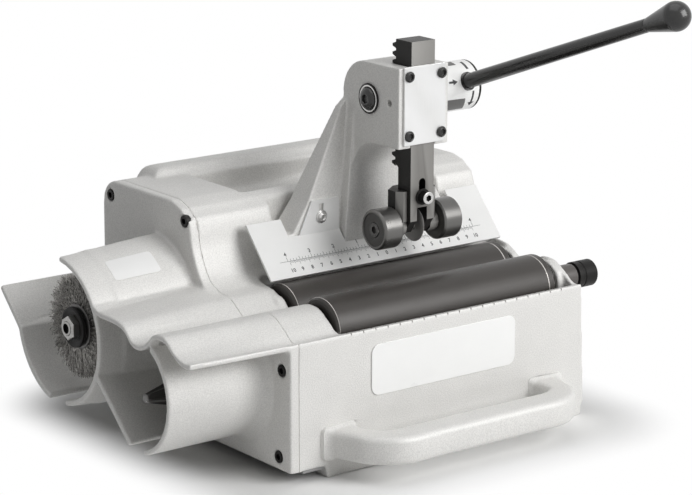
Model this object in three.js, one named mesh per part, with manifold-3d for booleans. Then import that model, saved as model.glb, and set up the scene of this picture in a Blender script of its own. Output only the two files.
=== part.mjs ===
// Tube cutting and cleaning machine: a cast body with two driven rollers, a rack-fed cutter
// column over them, and a wire brush and a reamer in a cast guard on its left end.
// Millimetres, +Z up, +Y to the rear, +X to the right as the user sees it.
// While it is built, X 0 is the cutting plane, Y 0 the ruler's scale line and Z 0 the floor.
import * as THREE from 'three';
import { mergeVertices } from 'three/addons/utils/BufferGeometryUtils.js';
import Module from 'manifold-3d';

const wasm = await Module();
wasm.setup();

// Shared fits
const fitGap = 0.3;
const overrun = 2;
const fineSides = 24;
const plainSides = 12;

// Cast body
const bodyLeft = -167.5;
const bodyRight = 141;
const bodyFront = -99.4;
const bodyDepth = 279.4;
const bodyRear = bodyFront + bodyDepth;
const bodyBottom = 10.3;
const rightLean = 0.05;
const rightLevel = 64;
const humpTop = 207.3;
const humpShoulder = 71;
const humpCorner = 20;
const rearDraft = 3;
const shelfHeight = 118;
const castWall = 5;
const cavityTop = 178;
const footWidth = 50;
const footDepth = 24;
const footBlock = 12;
const leftFootStart = -139;
const tickPitch = 12.7;
const tickWidth = 1;
const tickDepth = 0.6;
const tickLength = 4;
const tickCount = 19;

// Roller bay
const bayLeft = -121;
const bayRight = 133.5;
const bayFront = -92;
const bayRear = 22;
const bayFloor = 84;

// Carry grip and hand recess on the hump
const gripLeft = -144;
const gripRight = 124;
const gripRise = 8;
const gripRound = 14;
const gripFoot = 144;
const gripRear = 176;
const recessLeft = -108;
const recessRight = 75;
const recessFront = 64.5;
const recessRear = 142;
const recessDepth = 24;

// Left end casting with its guard
const endPlate = 9;
const guardEnd = -274;
const guardWall = 4.5;
const guardDraft = 7;
const brushY = 97;
const brushZ = 104.3;
const brushRoom = 60;
const rearRoom = 62.5;
const lipReach = 44;
const reamerY = -18;
const reamerZ = 71.5;
const reamerRoom = 46.8;
const reamerRoomZ = 78.1;
const skinReach = 144;
const skinRise = 17.3;
const chuteRear = -12;
const chuteBottom = 33.5;
const wallFillet = 8;

// Rollers
const rollerRadius = 26;
const rollerZ = 115.8;
const frontRollerY = -62.5;
const rearRollerY = -7.5;
const rollerLeft = -119;
const rollerRight = 118;
const rollerBevel = 2;
const journalRadius = 8;
const stubRadius = 6;
const neckRadius = 11;
const neckEnd = 157.3;
const grooveWidth = 2;
const collarRadius = 12;
const collarEnd = 180.4;

// Bearings
const bearingRadius = 14;
const bearingWidth = 9;
const rightBossReach = 7;
const spindleRadius = 8;
const spindleSeat = 16;
const bossWall = 5;

// Belt drive in the left compartment
const mainBeltX = -154;
const frontBeltX = -145;
const rearBeltX = -136;
const beltWidth = 5;
const beltThickness = 1.6;
const pulleyWidth = 7;
const flangeRise = 1.4;
const rollerPulley = 8;
const drivePulley = 14;
const brushPulley = 20;
const reamerPulley = 16;

// Gear motor in the hump
const motorY = 122;
const motorZ = 136;
const motorRadius = 38;
const motorLeft = -60;
const motorLength = 160;
const motorRight = motorLeft + motorLength;
const gearboxLeft = -118;
const gearboxRadius = 31;
const outputRadius = 5;
const outputDepth = 18;
const saddleWidth = 6;
const saddleInset = 24;
const saddleHeight = 46;

// Wire brush
const brushRadius = 45;
const brushCore = 24;
const brushBack = -242;
const brushFront = -256;
const brushStub = 6;
const strandCount = 50;
const strandRows = 5;
const strandWidth = 0.7;
const rowSpread = 2.6;
const tipSpread = 4.4;
const strandSeat = 1.2;
const flangeRadius = 17.5;
const flangeThickness = 2;
const flangeDish = 2;
const nutWidth = 18.5;
const nutFront = -265;

// Reamer
const reamerTip = -263;
const reamerTipRadius = 4;
const reamerRadius = 23.5;
const reamerBack = -187;
const reamerCollar = 4;
const reamerBlades = 6;
const bladeDepthShare = 0.62;

// Cutter column
const headHalf = 26.5;
const headBottom = 251.3;
const headTop = 320.3;
const headFront = -48.5;
const headRear = 28;
const headRound = 30;
const headFillet = 26;
const postFront = 13;
const postHalf = 36;
const webFront = 22;
const webRear = 46;
const webLow = 68.5;
const webLowZ = 198.3;
const webShoulder = 34;
const webShoulderZ = 277.3;
const webTop = 285.3;
const seatHalf = 84;
const baseFlange = 6;
const baseHalf = seatHalf + baseFlange;
const baseTop = 173.3;
const seatZ = 154.3;
const seatRear = 54;
const stopHole = 2.5;
const stopHoleY = -35.5;
const stopHoleDepth = 8;

// Head cover with its four screws
const coverHalf = 22;
const coverThickness = 2.5;
const coverBottom = 254.3;
const coverTop = 321.3;
const coverScrewX = 17.3;
const coverScrewInset = 8.2;
const screwHead = 4.7;
const screwHeadHeight = 2.8;
const screwShank = 2.2;
const screwDepth = 12;
const socketShare = 0.45;

// Rack
const rackHalf = 12.5;
const rackFront = -47.8;
const rackTips = -22;
const shankBack = -30.7;
const rackTop = 341.3;
const toothPitch = 7.2;
const rackTeeth = 15;
const rackAddendum = 1.6;
const rackDedendum = 3;
const legEnd = 176.3;
const legFrontEnd = 187.3;
const legChamfer = 8;
const slotHalf = 3.5;
const slotTop = 223.8;
const springTop = 246.8;

// Pinion and its end washer
const pinionZ = 289.3;
const pinionTeeth = 13;
const pinionAddendum = 2.2;
const pinionDedendum = 2.2;
const pinionHalf = 12;
const pressureAngle = Math.PI / 9;
const toothBacklash = 0.5;
const pinionShaft = 8;
const washerRadius = 13;
const washerThickness = 1.2;
const buttonRadius = 9.5;
const buttonHeight = 3.4;
const handleStub = 7;

// Cutter wheel and its pin
const wheelY = -35;
const wheelZ = 182.3;
const wheelRadius = 15.75;
const wheelHub = 5;
const wheelHubRadius = 5.2;
const wheelWeb = 1.6;
const wheelEdge = 0.3;
const wheelPin = 2.2;

// Carriage with the two guide rollers
const cheekOuter = 21.7;
const cheekBottom = 186.8;
const cheekTop = 213.3;
const cheekFront = -43.8;
const cheekBack = -28.5;
const cheekChamfer = 5;
const bridgeBack = -19;
const bridgeHalf = 9;
const bridgeBottom = 199.5;
const cheekBoss = 9;
const carriageScrewZ = 207.9;
const carriageScrew = 3.2;
const carriageHead = 5.5;
const carriageHeadFront = -57;
const carriageRing = 7;
const carriageRingHeight = 1.4;
const guideRadius = 17.5;
const guideInner = 22.4;
const guideOuter = 42;
const guideBevel = 1.5;
const guideShank = 4;
const guideHead = 6.2;
const guideHeadDepth = 4;

// Carriage spring
const springY = -39;
const springCoil = 2.5;
const springWire = 0.55;
const springTurns = 9;
const curlSteps = 8;
const wireSides = 5;

// Feed handle
const hubRadius = 21.5;
const hubGap = 0.5;
const hubLength = 53;
const hubCap = 7;
const hubBevel = 1.2;
const bushRadius = 13;
const bushLength = 43;
const leverInset = 15;
const hubLeft = headHalf + hubGap;
const hubRight = hubLeft + hubLength;
const bushRight = hubLeft + bushLength;
const leverX = hubRight - leverInset;
const leverRise = THREE.MathUtils.degToRad(19.86);
const leverRoot = 6.5;
const leverTip = 5.75;
const leverLength = 254.6;
const leverStub = 3.5;
const leverStubLength = 15;
const knobRadius = 12.2;
const knobReach = 33;
const knobCentre = leverLength + knobReach;
const knobNeck = 6;

// Ruler plate
const rulerHalf = 126;
const rulerSlope = THREE.MathUtils.degToRad(48.7);
const rulerLow = -6.4;
const rulerHigh = 48.5;
const rulerThickness = 2;
const rulerZ = 149.3;
const tabLeft = -80;
const tabRight = -37;
const tabTopLeft = -66;
const tabTop = 200.3;
const rulerScrewX = -56;
const rulerScrewZ = 185.5;
const rulerSlotTop = 196.8;
const rulerSlotBottom = 181;
const rulerScrewHead = 4;
const rulerWasher = 5.6;
const rulerWasherHeight = 1;

// Front handle
const handleLeft = -140;
const handleRight = 111;
const handleReach = 57.6;
const handleBottom = 18.3;
const handleTop = 42.8;
const handleRounding = 8;
const handleBulk = 28;

// Front name plate, left bare, and the bare plate on the guard
const plateLeft = -94;
const plateRight = 61;
const plateBottom = 61.9;
const plateTop = 105.8;
const plateCorner = 8;
const plateThickness = 1.2;
const stickerLeft = -245;
const stickerRight = -201;
const stickerThickness = 0.6;
const stickerStart = THREE.MathUtils.degToRad(115);
const stickerEnd = THREE.MathUtils.degToRad(134);

// End screws
const endScrewHead = 5;
const endScrewHeight = 4.5;
const endScrewShank = 3;
const endScrewDepth = 22;
const rearScrewInset = 14.8;
const rearScrewDrop = 13.5;
const ridgeScrewInset = 19.8;
const ridgeScrewDrop = 14.5;
const lipScrewInset = 12.5;
const lipScrewDrop = 22;
const footScrewInset = 17.2;
const footScrewRise = 11.2;
const endScrewPlaces = [
  { y: bodyRear - rearScrewInset, z: humpTop - rearScrewDrop },
  { y: humpShoulder - ridgeScrewInset, z: humpTop - ridgeScrewDrop },
  { y: bodyFront + lipScrewInset, z: shelfHeight - lipScrewDrop },
  { y: bodyFront + footScrewInset, z: bodyBottom + footScrewRise },
];
const endBossWidth = 16;
const endBossDepth = 17;

// Base cover
const baseThickness = 2.5;
const baseMargin = 6;

// Power switch and cord gland
const switchY = 122;
const switchZ = 70;
const switchHalfY = 14;
const switchHalfZ = 10;
const switchRim = 3;
const switchRimHeight = 2;
const switchDepth = 20;
const rockerHalfY = 10;
const rockerHalfZ = 7;
const rockerDepth = 5;
const rockerRise = 3;
const rockerTilt = THREE.MathUtils.degToRad(10);
const glandX = -120;
const glandZ = 45;
const glandFlange = 11;
const glandBody = 8.5;
const glandBore = 4;
const glandReach = 12;

// Materials
function finish(colour, roughness, metalness) {
  return new THREE.MeshStandardMaterial({ color: colour, roughness, metalness });
}
const castAluminium = finish(0xccc9c4, 0.55, 0.35);
const bareAluminium = finish(0xd8d8d6, 0.35, 0.6);
const blackSteel = finish(0x1e1d1c, 0.4, 0.4);
const rollerBlack = finish(0x45403b, 0.45, 0.2);
const brightSteel = finish(0xb5b3b0, 0.3, 0.9);
const springSteel = finish(0x8d8b88, 0.35, 0.9);
const whiteEnamel = finish(0xf1f0ec, 0.4, 0.05);
const blackPlastic = finish(0x1b1b1c, 0.35, 0);
const greyPlastic = finish(0x3a3a3c, 0.5, 0);
const beltRubber = finish(0x232222, 0.8, 0);

// Solids and booleans
function solidOf(geometry) {
  const bare = new THREE.BufferGeometry();
  bare.setAttribute('position', geometry.getAttribute('position'));
  bare.setIndex(geometry.index);
  const merged = mergeVertices(bare);
  const corners = merged.index.array;
  const kept = [];
  for (let i = 0; i < corners.length; i += 3) {
    const [a, b, c] = corners.slice(i, i + 3);
    if (a !== b && b !== c && c !== a) kept.push(a, b, c);
  }
  return new wasm.Manifold(new wasm.Mesh({
    numProp: 3,
    vertProperties: new Float32Array(merged.getAttribute('position').array),
    triVerts: new Uint32Array(kept),
  }));
}

function joined(solids) {
  return solids.reduce((sum, solid) => sum.add(solid));
}

function cut(solid, cutters) {
  return cutters.reduce((rest, cutter) => rest.subtract(cutter), solid);
}

function node(name, solid, material) {
  const { vertProperties, triVerts } = solid.getMesh();
  const geometry = new THREE.BufferGeometry();
  geometry.setAttribute('position', new THREE.BufferAttribute(vertProperties, 3));
  geometry.setIndex(new THREE.BufferAttribute(triVerts, 1));
  geometry.computeVertexNormals();
  const mesh = new THREE.Mesh(geometry, material);
  mesh.name = name;
  return mesh;
}

// Directions: an extrusion or a turned piece is made along its own axis, then laid on a machine axis
const unit = { X: new THREE.Vector3(1, 0, 0), Y: new THREE.Vector3(0, 1, 0), Z: new THREE.Vector3(0, 0, 1) };
const towardX = new THREE.Matrix4().makeBasis(unit.Y, unit.Z, unit.X);
const towardY = new THREE.Matrix4().makeBasis(unit.X, unit.Z, unit.Y.clone().negate());
const turnAlong = {
  X: new THREE.Matrix4().makeBasis(unit.Z, unit.X, unit.Y),
  Y: new THREE.Matrix4(),
  Z: new THREE.Matrix4().makeBasis(unit.Y, unit.Z, unit.X),
};

function shapeOf(outline) {
  return outline instanceof THREE.Shape ? outline : new THREE.Shape(outline);
}

function extruded(outline, length, bevel = null) {
  const options = { depth: length, bevelEnabled: false, curveSegments: 6 };
  if (bevel) {
    options.bevelEnabled = true;
    options.bevelSize = bevel;
    options.bevelThickness = bevel;
    options.bevelOffset = -bevel;
    options.bevelSegments = 3;
    options.depth = length - 2 * bevel;
  }
  const geometry = new THREE.ExtrudeGeometry(shapeOf(outline), options);
  if (bevel) geometry.translate(0, 0, bevel);
  return geometry;
}

// An outline in Y and Z, run from one X to another
function prismX(outline, from, to) {
  return solidOf(extruded(outline, to - from).applyMatrix4(towardX).translate(from, 0, 0));
}

// An outline in X and Z, run from one Y to another
function prismY(outline, from, to) {
  return solidOf(extruded(outline, to - from).applyMatrix4(towardY).translate(0, to, 0));
}

// An outline in X and Y, run from one Z to another
function prismZ(outline, from, to, bevel = null) {
  return solidOf(extruded(outline, to - from, bevel).translate(0, 0, from));
}

function box(x, y, z) {
  const geometry = new THREE.BoxGeometry(x[1] - x[0], y[1] - y[0], z[1] - z[0]);
  return solidOf(geometry.translate((x[0] + x[1]) / 2, (y[0] + y[1]) / 2, (z[0] + z[1]) / 2));
}

// A turned piece: pairs of place along the axis and radius, closed on the axis or round a bore
function lathed(profile, sides) {
  const points = profile.map(([along, radius]) => new THREE.Vector2(radius, along));
  const hollow = points[0].x > 0 && points[points.length - 1].x > 0;
  if (hollow) points.push(points[0].clone());
  return new THREE.LatheGeometry(points, sides);
}

function turned(axis, centre, profile, sides = plainSides) {
  const geometry = lathed(profile, sides).applyMatrix4(turnAlong[axis]);
  return solidOf(geometry.translate(centre.x ?? 0, centre.y ?? 0, centre.z ?? 0));
}

function rod(axis, centre, radius, from, to, sides = plainSides) {
  return turned(axis, centre, [[from, 0], [from, radius], [to, radius], [to, 0]], sides);
}

function ring(axis, centre, bore, radius, from, to, sides = plainSides) {
  return turned(axis, centre, [[from, bore], [from, radius], [to, radius], [to, bore]], sides);
}

// Two outlines in Y and Z with as many points, joined by straight sides
function loftX(lowOutline, highOutline, low, high) {
  const clockwise = THREE.ShapeUtils.isClockWise(highOutline);
  const lows = clockwise ? [...lowOutline].reverse() : lowOutline;
  const highs = clockwise ? [...highOutline].reverse() : highOutline;
  const count = lows.length;
  const positions = [];
  lows.forEach((point) => positions.push(low, point.x, point.y));
  highs.forEach((point) => positions.push(high, point.x, point.y));
  const faces = [];
  THREE.ShapeUtils.triangulateShape(highs, []).forEach(([a, b, c]) => {
    faces.push(count + a, count + b, count + c);
  });
  THREE.ShapeUtils.triangulateShape(lows, []).forEach(([a, b, c]) => faces.push(c, b, a));
  for (let i = 0; i < count; i += 1) {
    const next = (i + 1) % count;
    faces.push(i, next, count + next, i, count + next, count + i);
  }
  const geometry = new THREE.BufferGeometry();
  geometry.setAttribute('position', new THREE.Float32BufferAttribute(positions, 3));
  geometry.setIndex(faces);
  return solidOf(geometry);
}

// Rings of as many places, skinned one to the next and closed at both ends
function sweptSolid(rings) {
  const count = rings[0].length;
  const last = (rings.length - 1) * count;
  const faces = [];
  for (let start = 0; start < last; start += count) {
    for (let j = 0; j < count; j += 1) {
      const [a, b] = [start + j, start + ((j + 1) % count)];
      faces.push(a, b, b + count, a, b + count, a + count);
    }
  }
  for (let j = 1; j < count - 1; j += 1) {
    faces.push(0, j + 1, j, last, last + j, last + j + 1);
  }
  const positions = rings.flat().flatMap((place) => place.toArray());
  const geometry = new THREE.BufferGeometry();
  geometry.setAttribute('position', new THREE.Float32BufferAttribute(positions, 3));
  geometry.setIndex(faces);
  return solidOf(geometry);
}

function point(x, y) {
  return new THREE.Vector2(x, y);
}

function arcPoints(centre, radius, from, to, steps) {
  return Array.from({ length: steps + 1 }, (_, i) => {
    const angle = from + ((to - from) * i) / steps;
    return point(centre.x + radius * Math.cos(angle), centre.y + radius * Math.sin(angle));
  });
}

function sector(centre, inner, outer, from, to, steps) {
  return [...arcPoints(centre, outer, from, to, steps), ...arcPoints(centre, inner, to, from, steps)];
}

function degrees(angle) {
  return THREE.MathUtils.degToRad(angle);
}

// The body's upper outline: shelf lip, front crest, valley, rear crest and the hump's front
const waveShares = [
  [0, 0.021], [0.052, 0.006], [0.12, 0.1], [0.202, 0.19], [0.29, 0.19], [0.365, 0.11], [0.425, 0.045],
  [0.49, 0.12], [0.566, 0.207], [0.66, 0.235], [0.742, 0.323], [0.809, 0.56], [0.86, 0.88], [1, 1],
];
const wave = new THREE.SplineCurve(waveShares.map(([along, up]) => point(
  bodyFront + along * (humpShoulder - bodyFront),
  shelfHeight + up * (humpTop - shelfHeight),
)));
const waveSteps = 24;

function bodyOutline() {
  const cornerCentre = point(bodyRear - rearDraft - humpCorner, humpTop - humpCorner);
  return [
    point(bodyFront, bodyBottom),
    ...wave.getPoints(waveSteps),
    ...arcPoints(cornerCentre, humpCorner, degrees(90), 0, 6),
    point(bodyRear, bodyBottom),
  ].reverse();
}

// The right end leans inward as it rises
function rightEnd(height) {
  return bodyRight - rightLean * (height - rightLevel);
}

function insideRightEnd() {
  const [low, high] = [bodyBottom - overrun, humpTop + gripRise + overrun];
  return prismY([
    point(bodyLeft - overrun, low), point(rightEnd(low), low),
    point(rightEnd(high), high), point(bodyLeft - overrun, high),
  ], bodyFront - overrun, bodyRear + overrun);
}

function cavityOutline() {
  const front = bodyFront + castWall;
  const rear = bodyRear - castWall - rearDraft;
  const inner = [];
  for (let i = 0; i <= waveSteps; i += 1) {
    const place = wave.getPoint(i / waveSteps);
    const tangent = wave.getTangent(i / waveSteps);
    const y = place.x + castWall * tangent.y;
    if (y > front) inner.push(point(y, Math.min(place.y - castWall * tangent.x, cavityTop)));
  }
  return [
    point(front, bodyBottom - overrun),
    point(front, inner[0].y),
    ...inner,
    point(rear, cavityTop),
    point(rear, bodyBottom - overrun),
  ].reverse();
}

// Places that several pieces share
const frontAxis = { y: frontRollerY, z: rollerZ };
const rearAxis = { y: rearRollerY, z: rollerZ };
const brushAxis = { y: brushY, z: brushZ };
const reamerAxis = { y: reamerY, z: reamerZ };
const motorAxis = { y: motorY, z: motorZ };
const pitchRadius = (pinionTeeth * toothPitch) / (2 * Math.PI);
const pitchLine = rackTips - rackAddendum;
const pinionAxis = { y: pitchLine + pitchRadius, z: pinionZ };
const wheelAxis = { y: wheelY, z: wheelZ };
const bayWallOuter = bayLeft - castWall;
const rightBoss = bayRight - rightBossReach;
const rightPocket = rightBoss + bearingWidth + 2 * fitGap;
const plateOuter = bodyLeft - endPlate;
const cavityRight = rightEnd(cavityTop) - castWall;
const rackWay = rackHalf + fitGap;
const rulerScrewPlace = { x: rulerScrewX, z: rulerScrewZ };
const coverScrewPlaces = [-coverScrewX, coverScrewX].flatMap((x) => (
  [coverBottom + coverScrewInset, coverTop - coverScrewInset].map((z) => ({ x, z }))
));
const feet = [leftFootStart, bodyRight - footWidth].flatMap((x) => (
  [bodyFront, bodyRear - footDepth].map((y) => ({ x: [x, x + footWidth], y: [y, y + footDepth] }))
));

// Carry grip along the rear of the hump
function gripSolid() {
  const top = humpTop + gripRise;
  const run = prismY([
    point(gripLeft, humpTop - 2 * castWall),
    ...arcPoints(point(gripLeft + gripRound, top - gripRound), gripRound, Math.PI, Math.PI / 2, 5),
    ...arcPoints(point(gripRight - gripRound, top - gripRound), gripRound, Math.PI / 2, 0, 5),
    point(gripRight, humpTop - 2 * castWall),
  ], gripFoot, gripRear);
  const depth = gripRear - gripFoot;
  const sectionShares = [[0, -0.08], [0.13, 0.8], [0.24, 1], [0.66, 1], [0.85, 0.7], [0.97, -0.6]];
  const section = sectionShares.map(([along, up]) => (
    point(gripFoot + along * depth, humpTop + up * gripRise)
  ));
  section.push(point(section[5].x, humpTop - 2 * castWall), point(gripFoot, humpTop - 2 * castWall));
  return run.intersect(prismX(section, gripLeft, gripRight));
}

// Scooped hand recess in front of the grip
function recessSolid() {
  const floor = humpTop - recessDepth;
  const top = humpTop + overrun;
  const outline = new THREE.Shape([point(recessFront, top), point(recessFront, humpTop)]);
  outline.quadraticCurveTo(recessFront + recessDepth / 2, floor, recessFront + 2 * recessDepth, floor);
  outline.lineTo(recessRear - recessDepth / 2, floor);
  outline.quadraticCurveTo(recessRear, floor, recessRear, floor + recessDepth / 2);
  outline.lineTo(recessRear, top);
  return prismX(outline, recessLeft, recessRight);
}

function housing() {
  const block = prismX(bodyOutline(), bodyLeft, rightEnd(0));
  const outer = joined([block, gripSolid()]).intersect(insideRightEnd());
  const cavity = cavityOutline();
  const beltRoom = prismX(cavity, bodyLeft - overrun, bayWallOuter);
  const behindBay = prismX(cavity, bayWallOuter - overrun, cavityRight).intersect(
    box([bodyLeft, bodyRight], [bayRear + castWall, bodyRear], [0, humpTop]),
  );
  const seatMetal = box(
    [-baseHalf - castWall, baseHalf + castWall],
    [bayRear, seatRear + castWall],
    [seatZ - castWall, humpTop],
  );
  const underBay = box(
    [bayWallOuter - overrun, rightEnd(bayFloor) - castWall],
    [bodyFront + castWall, bayRear + castWall + overrun],
    [bodyBottom - overrun, bayFloor - castWall],
  );
  const bay = box([bayLeft, bayRight], [bayFront, bayRear], [bayFloor, humpTop]);
  const columnSeat = box(
    [-baseHalf - fitGap, baseHalf + fitGap],
    [bayRear - overrun, seatRear + fitGap],
    [seatZ, humpTop + overrun],
  );
  const open = cut(outer, [
    beltRoom,
    behindBay.subtract(seatMetal),
    underBay,
    bay,
    columnSeat,
    recessSolid(),
  ]);
  const whole = joined([
    open,
    ...feet.map((foot) => box(foot.x, foot.y, [0, bodyBottom + footBlock])),
    ...saddles(),
    ...frontBosses(),
    switchPad(),
    ...[frontAxis, rearAxis].flatMap((axis) => [
      rod('X', axis, bearingRadius + bossWall, bayLeft - bearingWidth, bayLeft),
      rod('X', axis, bearingRadius + bossWall, rightBoss, bayRight),
    ]),
  ]);
  const bored = cut(whole, [
    ...[frontAxis, rearAxis].flatMap((axis) => [
      rod('X', axis, bearingRadius + fitGap, bayLeft - bearingWidth - overrun, bayLeft + overrun),
      rod('X', axis, bearingRadius + fitGap, rightBoss - overrun, rightPocket),
    ]),
    rod('X', frontAxis, journalRadius + 2 * fitGap, bayRight, bodyRight + overrun),
    switchFace(),
    switchHole(),
    rod('Y', { x: glandX, z: glandZ }, glandBody + fitGap, bodyRear - 4 * castWall, bodyRear + overrun),
    ...endScrewPlaces.map((place) => (
      rod('X', place, endScrewShank + fitGap, bodyLeft - overrun, bodyLeft + endScrewDepth - endPlate)
    )),
    ...tickCuts(),
  ]);
  return node('main_housing', bored, castAluminium);
}

function saddles() {
  const places = [motorLeft + saddleInset, motorRight - saddleInset];
  const body = rod('X', motorAxis, motorRadius + fitGap, motorLeft, motorRight, fineSides);
  return places.map((x) => box(
    [x, x + saddleWidth],
    [bayRear + castWall / 2, bodyRear - castWall / 2],
    [motorZ - saddleHeight, motorZ],
  ).subtract(body));
}

function frontBosses() {
  return endScrewPlaces.filter((place) => place.y < 0).map((place) => box(
    [bodyLeft, bodyLeft + endBossDepth],
    [bodyFront + castWall / 2, place.y + endBossWidth / 2],
    [place.z - endBossWidth / 2, place.z + endBossWidth / 2],
  ));
}

// A flat face on the leaning right end for the switch
function switchArea(x, margin) {
  return box(
    x,
    [switchY - switchHalfY - switchRim - margin, switchY + switchHalfY + switchRim + margin],
    [switchZ - switchHalfZ - switchRim - margin, switchZ + switchHalfZ + switchRim + margin],
  );
}

function switchPad() {
  return switchArea([bodyRight - castWall, bodyRight], overrun / 2);
}

function switchFace() {
  return switchArea([bodyRight, bodyRight + 2 * overrun], overrun);
}

function switchHole() {
  return box(
    [cavityRight - overrun, bodyRight + overrun],
    [switchY - switchHalfY - fitGap, switchY + switchHalfY + fitGap],
    [switchZ - switchHalfZ - fitGap, switchZ + switchHalfZ + fitGap],
  );
}

// Length marks cut across the lip in front of the rollers
function tickCuts() {
  const first = (-(tickCount - 1) / 2) * tickPitch;
  const lipTop = wave.getPoint(0).y;
  return Array.from({ length: tickCount }, (_, i) => {
    const x = first + i * tickPitch;
    return box(
      [x - tickWidth / 2, x + tickWidth / 2],
      [bayFront - overrun, bayFront - overrun + tickLength],
      [lipTop - 3 * tickDepth, lipTop + overrun],
    );
  });
}

// The guard's upper skin at the body and at its open end
const plateSkinShares = [
  [0, 0.11], [0.062, 0.03], [0.142, 0.52], [0.239, 0.98], [0.343, 0.98], [0.43, 0.58], [0.503, 0.23],
  [0.579, 0.61], [0.669, 1.04], [0.76, 1.21], [0.843, 1.33], [0.926, 1.35], [1, 1.39],
];
const endSkinShares = [
  [0, 0.2], [0.06, 0.18], [0.147, 0.4], [0.253, 1], [0.363, 0.92], [0.433, 0.4], [0.51, 0.12],
  [0.588, 0.2], [0.668, 0.77], [0.76, 0.91], [0.843, 0.94], [0.926, 0.96], [1, 1.25],
];

function skinOutline(shares) {
  const curve = new THREE.SplineCurve(shares.map(([along, up]) => (
    point(bodyFront + along * skinReach, shelfHeight + up * skinRise)
  )));
  const upper = curve.getPoints(20);
  const lower = upper.map((place) => point(place.x, place.y - guardWall));
  return [...upper, ...lower.reverse()];
}

function guardWalls() {
  const brushCentre = point(brushY, brushZ);
  const reamerCentre = point(reamerY, reamerRoomZ);
  const lipStart = degrees(-11);
  const sweep = [degrees(93), degrees(263), 17];
  const rearSweep = [degrees(285), degrees(349), 7];
  const frontSweep = [degrees(119), degrees(255), 13];
  const lipRoot = arcPoints(brushCentre, rearRoom, lipStart, lipStart, 1)[0];
  const across = point(Math.cos(degrees(-45)), Math.sin(degrees(-45))).multiplyScalar(guardWall);
  const along = point(Math.cos(degrees(45)), Math.sin(degrees(45))).multiplyScalar(lipReach);
  const lipEnd = lipRoot.clone().add(along);
  const lipOutline = [lipRoot, lipRoot.clone().add(across), lipEnd.clone().add(across), lipEnd];
  const wallTop = arcPoints(brushCentre, brushRoom, degrees(202), degrees(202), 1)[0];
  const chuteEnd = point(chuteRear, chuteBottom);
  const slant = chuteEnd.clone().sub(wallTop).normalize();
  const slantAcross = point(slant.y, -slant.x).multiplyScalar(-guardWall);
  const slantOutline = [
    wallTop,
    chuteEnd,
    chuteEnd.clone().add(slantAcross),
    wallTop.clone().add(slantAcross),
  ];
  const straight = (outline) => loftX(outline, outline, guardEnd, bodyLeft - endPlate / 2);
  const drafted = (centre, room, [from, to, steps]) => loftX(
    sector(centre, room, room + guardWall, from, to, steps),
    sector(centre, room, room + guardWall + guardDraft, from, to, steps),
    guardEnd,
    bodyLeft - endPlate / 2,
  );
  const fillet = loftX(
    sector(reamerCentre, reamerRoom, reamerRoom + guardWall, ...frontSweep),
    sector(reamerCentre, reamerRoom, reamerRoom + guardWall + wallFillet, ...frontSweep),
    plateOuter - wallFillet,
    plateOuter,
  );
  return [
    loftX(skinOutline(endSkinShares), skinOutline(plateSkinShares), guardEnd, bodyLeft - endPlate / 2),
    drafted(brushCentre, brushRoom, sweep),
    straight(sector(brushCentre, rearRoom, rearRoom + guardWall, ...rearSweep)),
    straight(lipOutline),
    straight(sector(reamerCentre, reamerRoom, reamerRoom + guardWall, ...frontSweep)),
    straight(slantOutline),
    fillet,
  ];
}

function endCasting() {
  const bosses = [brushAxis, reamerAxis].map((axis) => (
    rod('X', axis, bearingRadius + bossWall, bodyLeft - endPlate / 2, plateOuter + spindleSeat)
  ));
  const whole = joined([prismX(bodyOutline(), plateOuter, bodyLeft), ...guardWalls(), ...bosses]);
  const bored = cut(whole, [
    ...[brushAxis, reamerAxis].map((axis) => (
      rod('X', axis, bearingRadius + fitGap, plateOuter - overrun, bodyLeft + spindleSeat)
    )),
    ...endScrewPlaces.map((place) => (
      rod('X', place, endScrewShank + fitGap, plateOuter - overrun, bodyLeft + overrun)
    )),
    ...endScrewPlaces.map((place) => (
      rod('X', place, endScrewHead + fitGap, plateOuter - overrun, plateOuter + endScrewHeight)
    )),
  ]);
  return node('prep_end_casting', bored, castAluminium);
}

// A screw with a hexagon socket, its head at the low end of the axis
function socketScrew(axis, centre, seat, headRadius, headHeight, shankRadius, depth, way = 1) {
  const body = [
    [seat - way * headHeight, 0], [seat - way * headHeight, headRadius], [seat, headRadius],
    [seat, shankRadius], [seat + way * depth, shankRadius], [seat + way * depth, 0],
  ];
  const profile = way > 0 ? body : [...body].reverse();
  const top = seat - way * headHeight;
  const socket = [top - way * overrun, top + (way * headHeight) / 2].sort((a, b) => a - b);
  return turned(axis, centre, profile).subtract(
    rod(axis, centre, headRadius * socketShare, socket[0], socket[1], 6),
  );
}

function endScrews() {
  return endScrewPlaces.map((place, i) => node(
    `end_screw_${i + 1}`,
    socketScrew(
      'X',
      place,
      plateOuter + endScrewHeight,
      endScrewHead,
      endScrewHeight,
      endScrewShank,
      endScrewDepth - endScrewHeight - overrun,
    ),
    blackSteel,
  ));
}

// A round-edged bar swept in plan from one root on the front face to the other
const handleShares = [
  [0.055, 0, 1.1], [0.066, 0.26, 0.86], [0.095, 0.55, 0.84], [0.175, 0.757, 1], [0.32, 0.757, 1],
  [0.68, 0.757, 1], [0.83, 0.757, 1], [0.908, 0.55, 0.84], [0.93, 0.26, 0.86], [0.938, 0, 1.1],
];

function handleRim() {
  return [[1, 1], [-1, 1], [-1, -1], [1, -1]].flatMap(([side, level], i) => (
    arcPoints(point(0, 0), handleRounding, (i * Math.PI) / 2, ((i + 1) * Math.PI) / 2, 2)
      .map((round) => ({ side, level, round }))
  ));
}

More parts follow.
